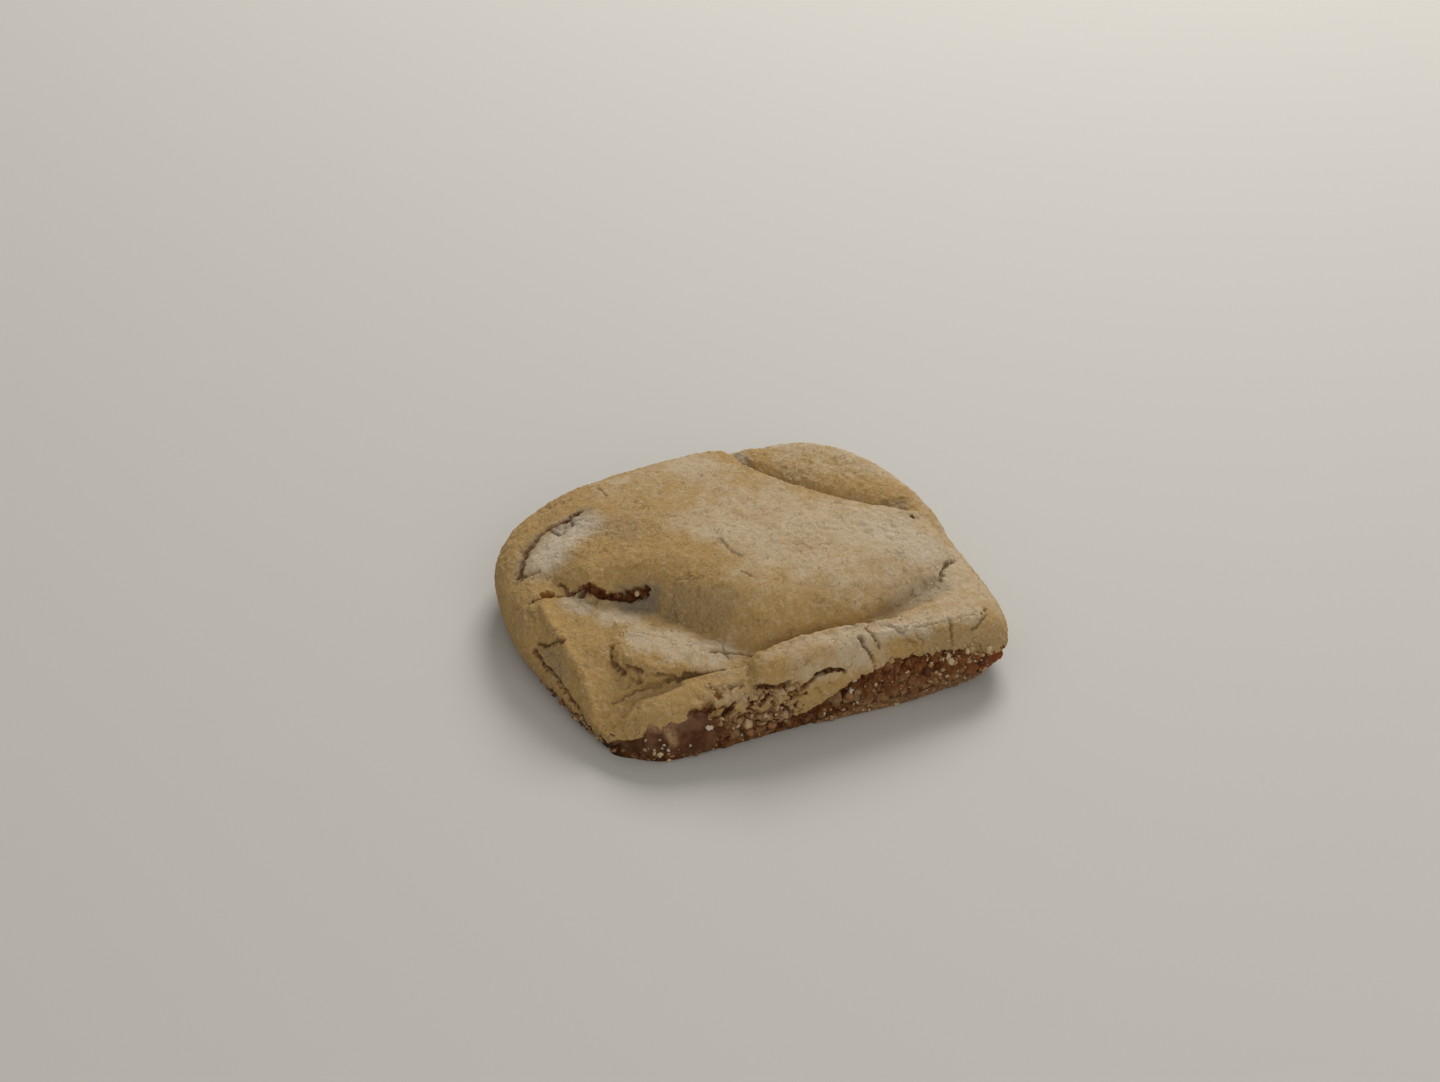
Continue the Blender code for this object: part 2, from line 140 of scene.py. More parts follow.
# A crack that runs along the top of the filling, where the long crack ends: x and height
LOW_CRACK = (
    (-7.3, 3.4), (-5.6, 4), (-3.9, 4.8), (-2.3, 5.7), (-0.3, 6.7), (1.3, 7.6), (2.9, 8.5), (4.2, 9.2),
)

# Cracks, by the side from which they are seen: half width, depth, and the line as (x, y), (x, z) or (y, z)
CRACKS = {
    "top": {
        "split": (0.65, 1.9, ((-32.2, 3.8), (-29.5, 2.4), (-26.8, 0.9), (-24, -0.7), (-21.2, -2.6))),
        "split's tail": (0.4, 0.9, ((-41.2, 7.4), (-38.8, 6.8), (-36.2, 6.2), (-33.7, 5.3), (-31.6, 3.8))),
        "split's branch": (0.35, 0.7, ((-33.7, 5.3), (-33.9, 6.7), (-34.3, 8.5))),
        "pit by the tail": (1, 1.5, ((-38, 7.6), (-36.8, 7.2))),
        "seam": (0.9, 1, (
            (-39.5, 16), (-37.3, 19.6), (-35.2, 22.1), (-31.7, 24.5), (-29, 25.6), (-25.4, 25), (-22, 25.2),
        )),
        "seam's lower end": (0.5, 0.5, ((-39.5, 16), (-38, 14.4), (-36, 13.8))),
        "hole in the seam": (0.8, 1.6, ((-25.9, 24.9), (-24.8, 24.6))),
        "crack by the seam": (0.35, 0.6, (
            (-28.6, 25), (-28.9, 22.4), (-28.4, 20.4), (-25.4, 21.2), (-24.6, 24),
        )),
        "fold's end": (0.5, 0.9, ((38.8, -17.6), (36.6, -18.3), (34.6, -20), (33.1, -21.6), (31.6, -23.1))),
        "dome crack far left": (0.35, 0.5, ((-15.1, 32.3), (-14.9, 30.1), (-15.1, 27.4))),
        "dome crack left": (0.3, 0.4, ((-11.5, 22.4), (-11.5, 20.8))),
        "dome crack middle": (0.4, 0.5, ((-4.5, -0.8), (-4.4, -4.9), (-3.4, -7.5))),
        "dome crack front": (0.35, 0.45, ((-5.5, -11.4), (-4.4, -13.6))),
        "dome crack left front": (0.3, 0.35, ((-16.1, -5.4), (-14.7, -6.8), (-13.1, -8.1))),
        "dome crack near split": (0.3, 0.3, ((-22.4, 1.9), (-21.4, 1.6))),
        "speck on the dome": (0.5, 0.5, ((34, -7.8), (34.6, -8))),
        "specks on the lobe": (0.4, 0.4, ((37.2, 0.8), (39.6, -0.1))),
        "tongue's crease, upper end": (0.35, 0.8, (
            (-32.8, -10.8), (-34, -13.4), (-33.9, -15.4), (-33.2, -16.8),
        )),
        "tongue's crease": (0.6, 1.7, ((-33.3, -16.6), (-32.2, -18.8), (-31.2, -20.4))),
        "tongue's crease, lower end": (0.4, 1.2, (
            (-31.2, -20.4), (-28.8, -22.2), (-26.4, -23.5), (-22.4, -24.9), (-17.7, -27.1),
        )),
        "flap's crease": (0.6, 0.6, (
            (-37.3, -20.6), (-35.2, -20.7), (-32.7, -20.9), (-30.7, -21.6), (-28.7, -22.9),
        )),
        "valley's end": (0.4, 0.8, (
            (-17.6, -21.9), (-15.8, -22.5), (-13.7, -24.2), (-12.3, -25.5), (-9.8, -28.4),
        )),
        "valley's end, across": (0.35, 0.6, ((-15.1, -20.8), (-15.3, -22.7), (-15.5, -24.9))),
        "line on the tongue": (0.3, 0.22, ((-28.3, -9.5), (-25.6, -12.5), (-23.4, -15.2), (-22.6, -16.7))),
        "rim crack 1": (0.35, 0.9, ((9.3, -32.4), (9.9, -36.2))),
        "rim crack 2": (0.4, 1, ((6.9, -34), (7.2, -35.6), (8.2, -37.2))),
        "rim crack 3": (0.3, 0.5, ((13.8, -33.1), (14.9, -35.4), (17.4, -37.4))),
        "rim crack 4": (0.3, 0.5, ((17.9, -36), (18.7, -37.4))),
        "rim crack 5": (0.35, 0.7, ((25.8, -35.2), (25.4, -37), (24.8, -38.6))),
        "rim crack 6": (0.35, 0.6, ((29.4, -37.7), (30.8, -37.2), (33.8, -35.8), (34.9, -33.9))),
        "rim shelf": (0.3, 0.4, ((12.4, -32.8), (14.9, -34.6), (20.2, -35.6), (25.7, -35.7), (31.6, -35.3))),
    },
    "front": {
        "long crack": (0.45, 2, (
            (-9.2, 9.6), (-8.1, 9.9), (-6.9, 10.3), (-4.7, 11.4), (-3.3, 12.3), (-0.3, 12.7), (2.1, 11.7),
        )),
        "long crack's left end": (0.7, 1.6, ((-8.4, 9.7), (-7.2, 10.1), (-6, 10.8))),
        "long crack's fork": (0.45, 1.2, ((-9.6, 7.9), (-8.6, 8.5), (-7.2, 8.9), (-5.6, 9.4))),
        "fissure 1": (0.25, 0.5, ((-4, 9.8), (-3.2, 9.6), (-2.8, 8.6))),
        "fissure 2": (0.25, 0.5, ((-1.4, 10.6), (-0.6, 9.9), (0, 9.9))),
        "low crack": (0.5, 1.6, LOW_CRACK),
        "pit": (0.6, 1.8, ((-14.9, 12.1), (-13.4, 12.3), (-11.4, 11.7))),
        "end of the pit": (0.8, 1.4, ((-10.6, 11.7), (-8.8, 12))),
        "left pit": (0.6, 0.9, ((-21.7, 11.2), (-21.2, 11.4))),
        "line from the left pit": (0.35, 0.8, ((-21.4, 11.7), (-20.1, 11.9), (-18.6, 12), (-16.6, 12.2),
                                               (-15.4, 12.8))),
        "gap at the left": (1, 1.6, ((-27, 9), (-26, 9.3), (-24.8, 9.6), (-23.4, 10))),
        "crumb crack 1": (0.6, 1.5, ((-22, 8.4), (-20.8, 9.1), (-19.8, 9.7))),
        "crumb crack 2": (0.6, 1.5, ((-17.2, 9), (-15.8, 9.7))),
        "crumb crack 3": (0.7, 1.7, ((-14.6, 9.2), (-13.6, 9.7), (-12.6, 10.2))),
        "crumb crack 4": (0.6, 1.5, ((-10.4, 7.6), (-9.8, 6.8), (-9, 5.8))),
        "crumb crack 5": (0.6, 1.4, ((-13, 7.4), (-12, 8.2))),
    },
    "left": {
        "wall crack": (0.45, 0.9, ((-0.6, 10), (-3.6, 11.2), (-4.6, 12.4), (-6.2, 12.6))),
        "wall's base": (0.8, 0.8, ((-0.5, 8.6), (-4.9, 7.6), (-8.3, 7.6), (-10.8, 6.6), (-16, 4.8))),
    },
}
CRACK_WOBBLE = 0.35
CRACK_WOBBLE_SIZE = 1.3
FINE_WOBBLE = 0.22
FINE_WOBBLE_SIZE = 0.5

# Ridges that stand out of the surface: half width, height, and the line
RIDGES = {
    "top": {
        "left edge of the sheet": (1.5, 0.7, (
            (-39.6, 4.4), (-40.2, 0), (-40.3, -5), (-40.2, -10), (-40.6, -16), (-41, -21),
        )),
        "flap's edge": (0.9, 0.4, ((-25, -25.2), (-20, -27.2), (-15.6, -29.2))),
        "rim's crest": (1, 0.35, ((-8, -29), (-1, -29.4), (5, -30), (11, -31.4), (13.6, -32))),
        "lump beside the valley": (1.3, 0.6, ((-18, -20.8), (-15.4, -21.8))),
        "small fold by the split": (0.8, 0.4, ((-36, 3), (-32.6, 1.2), (-31, -2))),
    },
    "left": {
        "hollow of the wall": (3.2, -0.7, ((-1, 9.6), (-6, 9.2), (-12, 7.4), (-17, 5.4))),
    },
}

# Swellings and dents of the top: height, radius, and the place in plan
SWELLS = (
    (0.5, 1.6, (-29.4, -6.3)), (0.4, 2.2, (-26.6, -8)), (-0.6, 4, (-25, -3.6)),
    (0.5, 2.6, (-20, -20.6)), (-0.4, 3, (-16.8, -17.6)), (0.35, 5, (-10, 16)),
    (-0.35, 6, (3, 6)), (0.3, 6, (16, -8)), (-0.4, 3, (18, -26.6)), (0.35, 4, (-28, 14)),
)

# Upper limit of the torn dough on the front side: x and height
TORN_LINE = ((-27, 8.6), (-23, 10.2), (-20, 10.8), (-15, 11.6), (-8, 12.6))

# Clumpy broken dough on the front side, and the grain of the whole surface
COARSE_PIECE = 3.2
FINE_PIECE = 1.1
TORN_DEPTH = 1.5
FILLING_DEPTH = 1.3
ROUGH_PATCH = 11.0
LUMP_SIZE = 7.0
LUMP_HEIGHT = 0.22
WRINKLE_SIZE = 1.6
WRINKLE_HEIGHT = 0.2
GRAIN_SIZE = 0.7
GRAIN_HEIGHT = 0.13

# Where the dough is stained or whitened, and where shade and a highlight are painted on it, by the side from
# which
# it is seen: reach, strength, and a line of places or the name of a crack that the stroke follows
PAINT = {
    "cocoa": {
        "top": (
            (0.55, 1, ((-31.6, 3.6), (-29.5, 2.4), (-26.8, 0.9), (-24, -0.7), (-21.2, -2.6))),
            (0.5, 0.5, ((-40.4, 7.2), (-37.2, 6.4), (-33.7, 5.3), (-31.6, 4))),
            (0.5, 0.5, ((-33.7, 5.3), (-34.1, 8))),
            (0.9, 0.9, ((-25.9, 24.9), (-24.4, 24.7), (-22.4, 25.2))),
            (0.5, 0.6, ((-39.5, 16), (-37.3, 19.6), (-35.2, 22.1), (-31.7, 24.5), (-28.4, 25.4))),
            (1.5, 0.55, ((-39.6, 15), (-38.8, 17.4))),
            (1.2, 0.36, ((-35.6, 21.8), (-31.7, 24.6), (-28.4, 25.6), (-23, 26))),
            (0.5, 0.8, "speck on the dome"),
            (0.4, 0.4, "specks on the lobe"),
        ),
        "front": (
            (0.35, 0.8, (
                (-9.2, 9.6), (-8.1, 9.9), (-6.9, 10.3), (-4.7, 11.4), (-3.3, 12.3), (-0.3, 12.6), (2.1, 11.7),
            )),
            (0.5, 0.6, "long crack's fork"),
            (0.6, 0.9, "low crack"),
            (0.5, 0.8, "pit"),
            (0.5, 0.5, ((-21.9, 11.6), (-21.5, 11.8))),
            (1, 1, ((-27, 9), (-26, 9.2), (-24.8, 9.4))),
            (0.6, 0.9, ((-24.8, 9.4), (-23.4, 9.9))),
            (0.5, 0.9, ((-22, 8.4), (-20.8, 9), (-19.8, 9.6))),
            (0.5, 0.8, "crumb crack 2"),
            (0.6, 0.9, "crumb crack 3"),
            (0.5, 0.9, "crumb crack 4"),
            (0.5, 0.7, "crumb crack 5"),
        ),
        "left": (
            (0.9, 0.55, ((-0.5, 8.4), (-4.9, 7.4), (-8.3, 7.4), (-10.8, 6.4), (-16, 4.6), (-22, 3))),
            (0.4, 0.4, ((-0.6, 10), (-3.6, 11.2), (-6.2, 12.6))),
        ),
    },
    "orange": {
        "top": ((1, 1, ((-38.2, 7.7), (-36.8, 7.3))),),
        "front": (
            (0.4, 1, ((-21.6, 11.1), (-21.2, 11.3))),
            (0.5, 0.9, ((-10.2, 11.5), (-9.6, 11.7))),
            (0.5, 0.7, ((-8.2, 9.6), (-7, 10), (-5.6, 10.8), (-4, 11.6))),
        ),
    },
    "bloom_and_painted_highlight": {
        "top": (
            (6, 0.85, ((-33, 16.4), (-29, 19), (-25, 20.4))),
            (2, 0.55, ((14.6, 36), (16.2, 30))),
            (2.6, 0.6, ((-34.4, 3), (-33, 0.6))),
            (2.8, 0.6, ((-30, -3.6), (-26, -5.6))),
            # a painted highlight along the lit shelf of the front rim
            (1.6, 0.5, ((13, -34), (20, -36))),
            (6, 0.35, ((27, -12), (32, -17))),
        ),
    },
    # Painted shade in hollows, valleys and creases and on faces turned from the light, with grey where the
    # chocolate shows through
    "grey_and_painted_shade": {
        "top": (
            (2.8, 1, ((-25.4, -1.4), (-21.4, -4.2))),
            (2, 0.5, ((-30.6, 0.6), (-27, -1.6))),
            (4, 0.35, ((-19, -8.6), (-12, -15.6))),
            (2, 0.5, ((-39.2, 15.4), (-36.6, 20.4), (-31.7, 24.8))),
            (2.8, 0.55, ((-27, 22.8), (-21.6, 24.4))),
            (1.6, 0.5, ((16.6, 31), (16.8, 23), (19.6, 14.8), (24, 7.2), (30, 2), (36.6, -0.4))),
            (2.4, 0.5, ((15, -28.6), (24, -26.4), (31, -24.4))),
            (4.5, 0.3, ((-22, 20), (-18, 12))),
        ),
        "front": ((2.6, 0.3, ((20, 12), (35, 9.5))),),
        "left": ((2.4, 0.4, ((-4, 9.6), (-9, 8.4))),),
    },
}
# Where the dough is made more golden, or with a minus paler, than elsewhere: browning, with painted shade in
# the valleys and on faces turned from the light and painted highlights on lit crests: reach, amount and line
GOLD_AND_PAINTED_LIGHT = {
    "top": (
        (9, 0.55, ((16, 36), (19, 24), (24, 14), (31, 6), (38, 1))),
        (7, -1.15, ((-27, -12), (-22, -18), (-17, -22))),
        # painted highlight along the front rim's crest
        (3.5, -0.35, ((-12, -31), (-4, -31.5), (6, -32.5), (14, -34), (32, -35))),
        (12, -0.25, ((20, -6), (34, -16))),
        (10, -0.2, ((-10, 30), (8, 28))),
        (9, 0.45, ((-28, 16), (-16, 4))),
        (8, -0.35, ((-6, 8), (0, -2))),
        # painted shade in the valley in front of the large fold
        (2.6, 0.6, ((-6, -26.6), (4, -27.4), (12, -29), (17, -27))),
    ),
    "front": (
        # painted shade on the steep front wall at the right
        (4.5, 0.8, ((14, 12.5), (22, 11.6), (34, 9.5))),
        (4, -0.45, ((-6, 13), (6, 13.5))),
        (3.6, -0.6, ((-22, 10.4), (-10, 10.4))),
        (5, 0.2, ((-38, 8), (-28, 11))),
    ),
}
# What the faces of the pocket in the dough are like
POCKET_MASKS = {"gold": 0.9, "stain": 0.8}
# Smears of dough on the smooth chocolate: half width and line, an upright one and a level one
SMEARS = ((1.5, ((-31.9, 8), (-31.2, 4.6))), (1.2, ((-38, 7.6), (-33, 7.6), (-28, 9.4))))
PAINT_WOBBLE = 0.45
PAINT_WOBBLE_SIZE = 1.1
VIEW_AXES = {"top": (0, 1), "front": (0, 2), "left": (1, 2)}

# Loose crumbs and grains by side: count, from and to across, from and to along, smallest and largest radius
DOUGH_CRUMB_ZONES = {
    "front": (
        (34, (-24, -7), (5, 12), (0.25, 0.75)),
        (14, (-2, 20), (1.5, 10.5), (0.2, 0.4)),
        (46, (19, 32), (4, 10.6), (0.25, 0.65)),
        (22, (-38, 33), (0.3, 1.2), (0.2, 0.45)),
    ),
    "left": (
        (24, (-22, 0), (0.5, 5), (0.2, 0.5)),
    ),
    "top": (
        (16, (4, 34), (-36, -30), (0.15, 0.4)),
        (14, (-36, -14), (-20, 0), (0.15, 0.35)),
    ),
}
CHOCOLATE_CRUMB_ZONES = {
    "front": (
        (22, (-24, -6), (0.8, 7), (0.3, 0.8)),
        (8, (-6, 3), (0.8, 4), (0.3, 0.6)),
        (36, (3, 33), (3, 9.6), (0.3, 0.8)),
        (26, (-40, -24), (0.4, 1.6), (0.2, 0.5)),
    ),
    "left": (
        (60, (-24, -3), (0.5, 3.6), (0.2, 0.55)),
    ),
}
SUGAR_ZONES = {
    "front": (
        (16, (-23, 4), (1, 8), (0.12, 0.3)),
        (22, (4, 32), (2, 10.5), (0.12, 0.32)),
        (8, (-36, -30), (1, 4.6), (0.12, 0.25)),
    ),
}
# Single ones by side: place and radius
DOUGH_CRUMB_SPOTS = {
    "top": (
        ((13.4, -27.8), 0.75), ((-29.4, -6.2), 0.6), ((-22.4, -0.6), 0.55),
    ),
    "front": (
        ((24, 11.5), 0.6), ((21.4, 10.8), 0.5), ((23.2, 9.1), 0.6), ((24.9, 7.4), 0.6), ((22.4, 8.6), 0.5),
        ((27.3, 9.1), 0.6), ((-34.5, 2.6), 0.5), ((-36, 3.4), 0.4), ((-33.4, 2.2), 0.5), ((-14.3, 11.2), 0.5),
        ((-16.6, 9), 0.5),
    ),
}
SUGAR_SPOTS = {
    "front": (
        ((-35.7, 5.5), 0.3), ((-33.5, 5.6), 0.3), ((-32.8, 4.4), 0.35), ((-32.1, 3.1), 0.4),
        ((-33.2, 3.8), 0.35), ((-24.5, 6.7), 0.6), ((-16.4, 5.7), 0.5), ((-18.8, 5.5), 0.4),
        ((4.6, 8.2), 0.6), ((3.5, 6.8), 0.5), ((-28.1, 3.4), 0.3),
    ),
}

# Camera: its place in metres, its tilt and turn in degrees, its lens and its sensor in millimetres
CAMERA_PLACE = (-0.181693, -0.334057, 0.282120)
CAMERA_TILT = 90.0 - 34.7
CAMERA_TURN = -28.0
CAMERA_LENS = 60.0
CAMERA_SENSOR = 36.0

# Studio, in metres and watts; each softbox has a place, a size, a power and a colour
SKY_COLOUR = (1.0, 0.985, 0.95, 1.0)
SKY_STRENGTH = 0.37
SOFTBOXES = (
    ((0.58, 0.64, 0.68), 0.5, 8.8, (1.0, 0.97, 0.92)),
    ((-0.10, -0.90, 0.45), 0.8, 3.2, (1.0, 0.98, 0.95)),
)
FLOOR_SIZE = 4.0


def smooth_step(value, low, high):
    """0 below low, 1 above high, and a smooth rise between."""
    t = np.clip((value - low) / (high - low), 0.0, 1.0)
    return t * t * (3.0 - 2.0 * t)


def fade(value, low, high):
    """1 below low, 0 above high, and a smooth fall between."""
    return 1.0 - smooth_step(value, low, high)


def between(value, low, full, last, high):
    """0 below low, 1 from full to last, and 0 again above high."""
    return smooth_step(value, low, full) * fade(value, last, high)


def height_on(line, x):
    """The height, at each x, of a line given as x and height."""
    return np.interp(x, *np.array(line).T)


def smooth_max(first, second, blend):
    """The larger of two heights, with the corner between them rounded."""
    share = np.clip(0.5 + 0.5 * (second - first) / blend, 0.0, 1.0)
    return first * (1.0 - share) + second * share + blend * share * (1.0 - share)


def closed_curve(points, count):
    """Closed Catmull-Rom curve through the points, with every column interpolated alike."""
    table = np.array(points, float)
    along = np.arange(count) * len(table) / count
    start = along.astype(int)
    t = (along - start)[:, None]
    before, here, after, beyond = (table[(start + step) % len(table)] for step in (-1, 0, 1, 2))
    return 0.5 * (
        2.0 * here
        + (after - before) * t
        + (2.0 * before - 5.0 * here + 4.0 * after - beyond) * t**2
        + (3.0 * here - before - 3.0 * after + beyond) * t**3
    )


def nearest_on_line(points, line):
    """Distance from each point of the plane to a line, and the line's other columns where it is nearest."""
    distance = np.full(len(points), np.inf)
    values = np.zeros((len(points), line.shape[1] - 2))
    for start, end in zip(line[:-1], line[1:]):
        stretch = end[:2] - start[:2]
        t = np.clip((points - start[:2]) @ stretch / (stretch @ stretch), 0.0, 1.0)[:, None]
        away = np.linalg.norm(points - start[:2] - t * stretch, axis=1)
        closer = away < distance
        distance = np.where(closer, away, distance)
        values = np.where(closer[:, None], start[2:] + t * (end[2:] - start[2:]), values)
    return distance, values


def distance_to_line(points, line):
    """Distance from each point of the plane to a line."""
    return nearest_on_line(points, np.array(line, float))[0]


def is_inside(points, outline):
    """Whether each point of the plane lies inside a closed outline."""
    inside = np.zeros(len(points), bool)
    for start, end in zip(outline[:-1], outline[1:]):
        spans = (start[1] > points[:, 1]) != (end[1] > points[:, 1])
        rise = end[1] - start[1] if end[1] != start[1] else 1e-9
        inside ^= spans & (points[:, 0] < start[0] + (points[:, 1] - start[1]) / rise * (end[0] - start[0]))
    return inside


def noise_at(points, size, octaves=3, seed=0.0):
    """Fractal noise of about -1 to 1 at each point, with features of a size in millimetres."""
    shift = Vector((seed, seed * 0.7, -seed))
    return np.array([noise.fractal(Vector(p) / size + shift, 1.0, 2.0, octaves) for p in points])


def wobble(points, reach, size, seed=0.0):
    """The points pushed about by noise, so that what is drawn round them turns out ragged."""
    shift = Vector((seed, -seed, seed * 0.3))
    return points + reach * np.array([noise.noise_vector(Vector(p) / size + shift) for p in points])


def dome_of(points, half_width, line):
    """1 on a line and 0 from its half width on, rounded."""
    across = np.clip(distance_to_line(points, line) / half_width, 0.0, 1.0)
    return (1.0 - across**2) ** 2


def outline_of(foot):
    """The closed outline of a fold's foot, with the width of its roll as a third column."""
    outline = closed_curve(foot, 6 * len(foot))
    return np.vstack([outline, outline[:1]])


def top_height(plan):
    """Height of the cookie's top over each point of the plan."""
    x, y = plan.T
    from_pinch = np.linalg.norm(plan - np.array(PINCH_CENTRE), axis=1)
    sheet = SHEET_HEIGHT + SHEET_LEFT_RISE * smooth_step(-x, -10.0, 35.0) * smooth_step(y, -16.0, 12.0)
    sheet = sheet - PINCH_DEPTH * np.exp(-((from_pinch / PINCH_RADIUS) ** 2))
    height = sheet
    for crest, middle, fall, foot in FOLDS.values():
        outline = outline_of(foot)
        depth, roll = nearest_on_line(plan, outline)
        crest = crest - (plan - np.array(middle)) ** 2 @ np.array(fall)
        bend = 1.0 - np.clip(depth / roll[:, 0], 0.0, 1.0)
        low = sheet - FOLD_SINK
        raised = low + np.maximum(crest - low, 0.0) * np.sqrt(1.0 - bend**2)
        height = np.where(is_inside(plan, outline), smooth_max(height, raised, FOLD_BLEND), height)
    return height


def filling_top(plan):
    """Height of the filling's top: the ragged edge that shows at the front, and level inside."""
    x, y = plan.T
    flat = np.column_stack([x, np.zeros(len(plan)), np.zeros(len(plan))])
    edge = height_on(FILLING_EDGE, x) + EDGE_JITTER * noise_at(flat, EDGE_JITTER_SIZE, 3, 5.0)
    inside = smooth_step(y, -33.0, -24.0) * smooth_step(x, -40.0, -33.0)
    by_corner = between(-x, 29.5, 32.5, 34.0, 36.0)
    roof = ROOF_THICKNESS + (CORNER_ROOF - ROOF_THICKNESS) * by_corner
    return np.minimum(edge + (INSIDE_TOP - edge) * inside, top_height(plan) - roof)


def filling_bottom(plan):
    """Height of the filling's underside: on the ground at the near left, on the base of dough elsewhere."""
    foot = height_on(FILLING_FOOT, plan[:, 0])
    back = plan[:, 1] - CORNER_SLANT * np.maximum(CORNER_FROM - plan[:, 0], 0.0)
    return foot + (BASE_THICKNESS - foot) * smooth_step(back, -33.0, -29.5)


def inward_of(plan):
    """Unit vectors in the plane, pointing into a closed counter-clockwise outline."""
    along = np.roll(plan, -1, axis=0) - np.roll(plan, 1, axis=0)
    inward = np.stack([-along[:, 1], along[:, 0]], axis=1)
    return inward / np.linalg.norm(inward, axis=1)[:, None]


def add_object(name, data):
    obj = bpy.data.objects.new(name, data)
    bpy.context.scene.collection.objects.link(obj)
    return obj


def add_mesh(name, points, faces):
    """An object with a mesh of faces over the points of several arrays in turn, which are in millimetres."""
    mesh = bpy.data.meshes.new(name)
    mesh.from_pydata((np.concatenate(points) * MM).tolist(), [], faces)
    mesh.update()
    return add_object(name, mesh)


def mesh_of_rings(name, rings):
    """Closed body through rings of equally many points, from the underside's middle to the top's."""
    count = len(rings[0])
    faces = [tuple(reversed(range(count)))]
    for low in range(0, (len(rings) - 1) * count, count):
        high = low + count
        faces += [(low + i, low + (i + 1) % count, high + (i + 1) % count, high + i) for i in range(count)]
    faces.append(tuple(range((len(rings) - 1) * count, len(rings) * count)))
    return add_mesh(name, rings, faces)


def flat_rings(line, shares, height):
    """Rings that close in on the middle of a line in plan, at the heights that a function gives."""
    middle = line.mean(axis=0)
    return [np.column_stack([spot, height(spot)]) for spot in (middle + (line - middle) * s for s in shares)]


def side_line(count):
    """The side as a closed line in plan, the directions into it, and its profile: the stations' other columns
    and the height of the top."""
    side = closed_curve(SIDE_STATIONS, count)
    plan, (belt, tuck, shoulder, roundness) = side[:, :2], side[:, 2:].T
    inward = inward_of(plan)
    return plan, inward, belt, tuck, shoulder, roundness, top_height(plan + inward * shoulder[:, None])


def side_inset(height, belt, tuck, shoulder, roundness, top):
    """How far the side has drawn in at a height: under the belt to the foot, over it to the shoulder."""
    under = np.clip((belt - height) / belt, 0.0, 1.0)
    over = np.clip((height - belt) / (top - belt), 0.0, 1.0)
    drawn_in = 1.0 - (1.0 - over**roundness) ** (1.0 / roundness)
    return tuck * (1.0 - np.sqrt(1.0 - under**2)) + shoulder * drawn_in


def make_loaf(name):
    """The whole cookie as one body, with the folds of its top."""
    plan, inward, belt, tuck, shoulder, roundness, _ = side_line(LOAF_POINTS)
    foot = plan + inward * tuck[:, None]
    rings = flat_rings(foot, np.linspace(0.05, 1.0, 12), lambda spot: np.zeros(len(spot)))
    for angle in np.linspace(0.0, math.pi / 2, 13)[1:]:
        spot = plan + inward * (tuck * (1.0 - math.sin(angle)))[:, None]
        rings.append(np.column_stack([spot, belt * (1.0 - math.cos(angle))]))
    for angle in np.linspace(0.0, math.pi / 2, 25)[1:]:
        spot = plan + inward * (shoulder * (1.0 - max(math.cos(angle), 0.0) ** (2.0 / roundness)))[:, None]
        share = math.sin(angle) ** (2.0 / roundness)
        rings.append(np.column_stack([spot, belt + (top_height(spot) - belt) * share]))
    rings += flat_rings(plan + inward * shoulder[:, None], np.linspace(1.0, 0.01, 100)[1:], top_height)
    return mesh_of_rings(name, rings)


def make_layer(name, gap, reach):
    """The filling, or with a gap and a reach its pocket: grown all round and pushed out at the front."""
    plan, inward, *profile = side_line(LAYER_POINTS)
    shown = smooth_step(inward[:, 1], 0.1, 0.34) * smooth_step(-plan[:, 1], 17.0, 22.0)
    growth = gap + (reach - gap) * shown

    def place(height, grown):
        face = side_inset(height, *profile) + FRONT_INSET
        return plan + inward * (HIDDEN_INSET + (face - HIDDEN_INSET) * shown - grown)[:, None]

    spot = place(np.zeros(len(plan)), 0.0)
    low, high = filling_bottom(spot), filling_top(spot)
    drop = UNDERCUT * fade(low, 0.0, 0.5) if reach else 0.0
    floor = low - gap - drop
    walls = []
    for share in np.linspace(0.0, 1.0, LAYER_WALLS):
        height = floor + (high + gap - floor) * share
        walls.append(np.column_stack([place(height, growth), height]))
    if reach == 0.0:
        walls = walls[1:-1]
    under = flat_rings(place(low, 0.0), LAYER_SHARES, lambda spot: filling_bottom(spot) - gap - drop)
    above = flat_rings(place(high, 0.0), LAYER_SHARES[::-1], lambda spot: filling_top(spot) + gap)
    return mesh_of_rings(name, under + walls + above)


def read_points(mesh):
    """The mesh's points in millimetres, and its normals there."""
    points = np.empty(len(mesh.vertices) * 3)
    mesh.vertices.foreach_get("co", points)
    normals = np.empty(len(mesh.vertices) * 3)
    mesh.vertices.foreach_get("normal", normals)
    return points.reshape(-1, 3) / MM, normals.reshape(-1, 3)


def write_points(mesh, points):
    mesh.vertices.foreach_set("co", (points * MM).ravel())
    mesh.update()


def bake(obj):
    """Apply the object's modifiers."""
    evaluated = obj.evaluated_get(bpy.context.evaluated_depsgraph_get())
    mesh = bpy.data.meshes.new_from_object(evaluated)
    obj.modifiers.clear()
    obj.data = mesh


def remesh(obj, voxel):
    """Replace the object's mesh with an even, slightly smoothed one."""
    modifier = obj.modifiers.new("Even mesh", "REMESH")
    modifier.mode = "VOXEL"
    modifier.voxel_size = voxel * MM
    even = obj.modifiers.new("Smooth", "SMOOTH")
    even.factor = 0.5
    even.iterations = 2
    bake(obj)


def thin_out(obj, triangles):
    """Bring the object down to about this many triangles."""
    obj.data.calc_loop_triangles()
    modifier = obj.modifiers.new("Thin out", "DECIMATE")
    modifier.use_collapse_triangulate = True
    modifier.ratio = min(1.0, triangles / len(obj.data.loop_triangles))
    bake(obj)


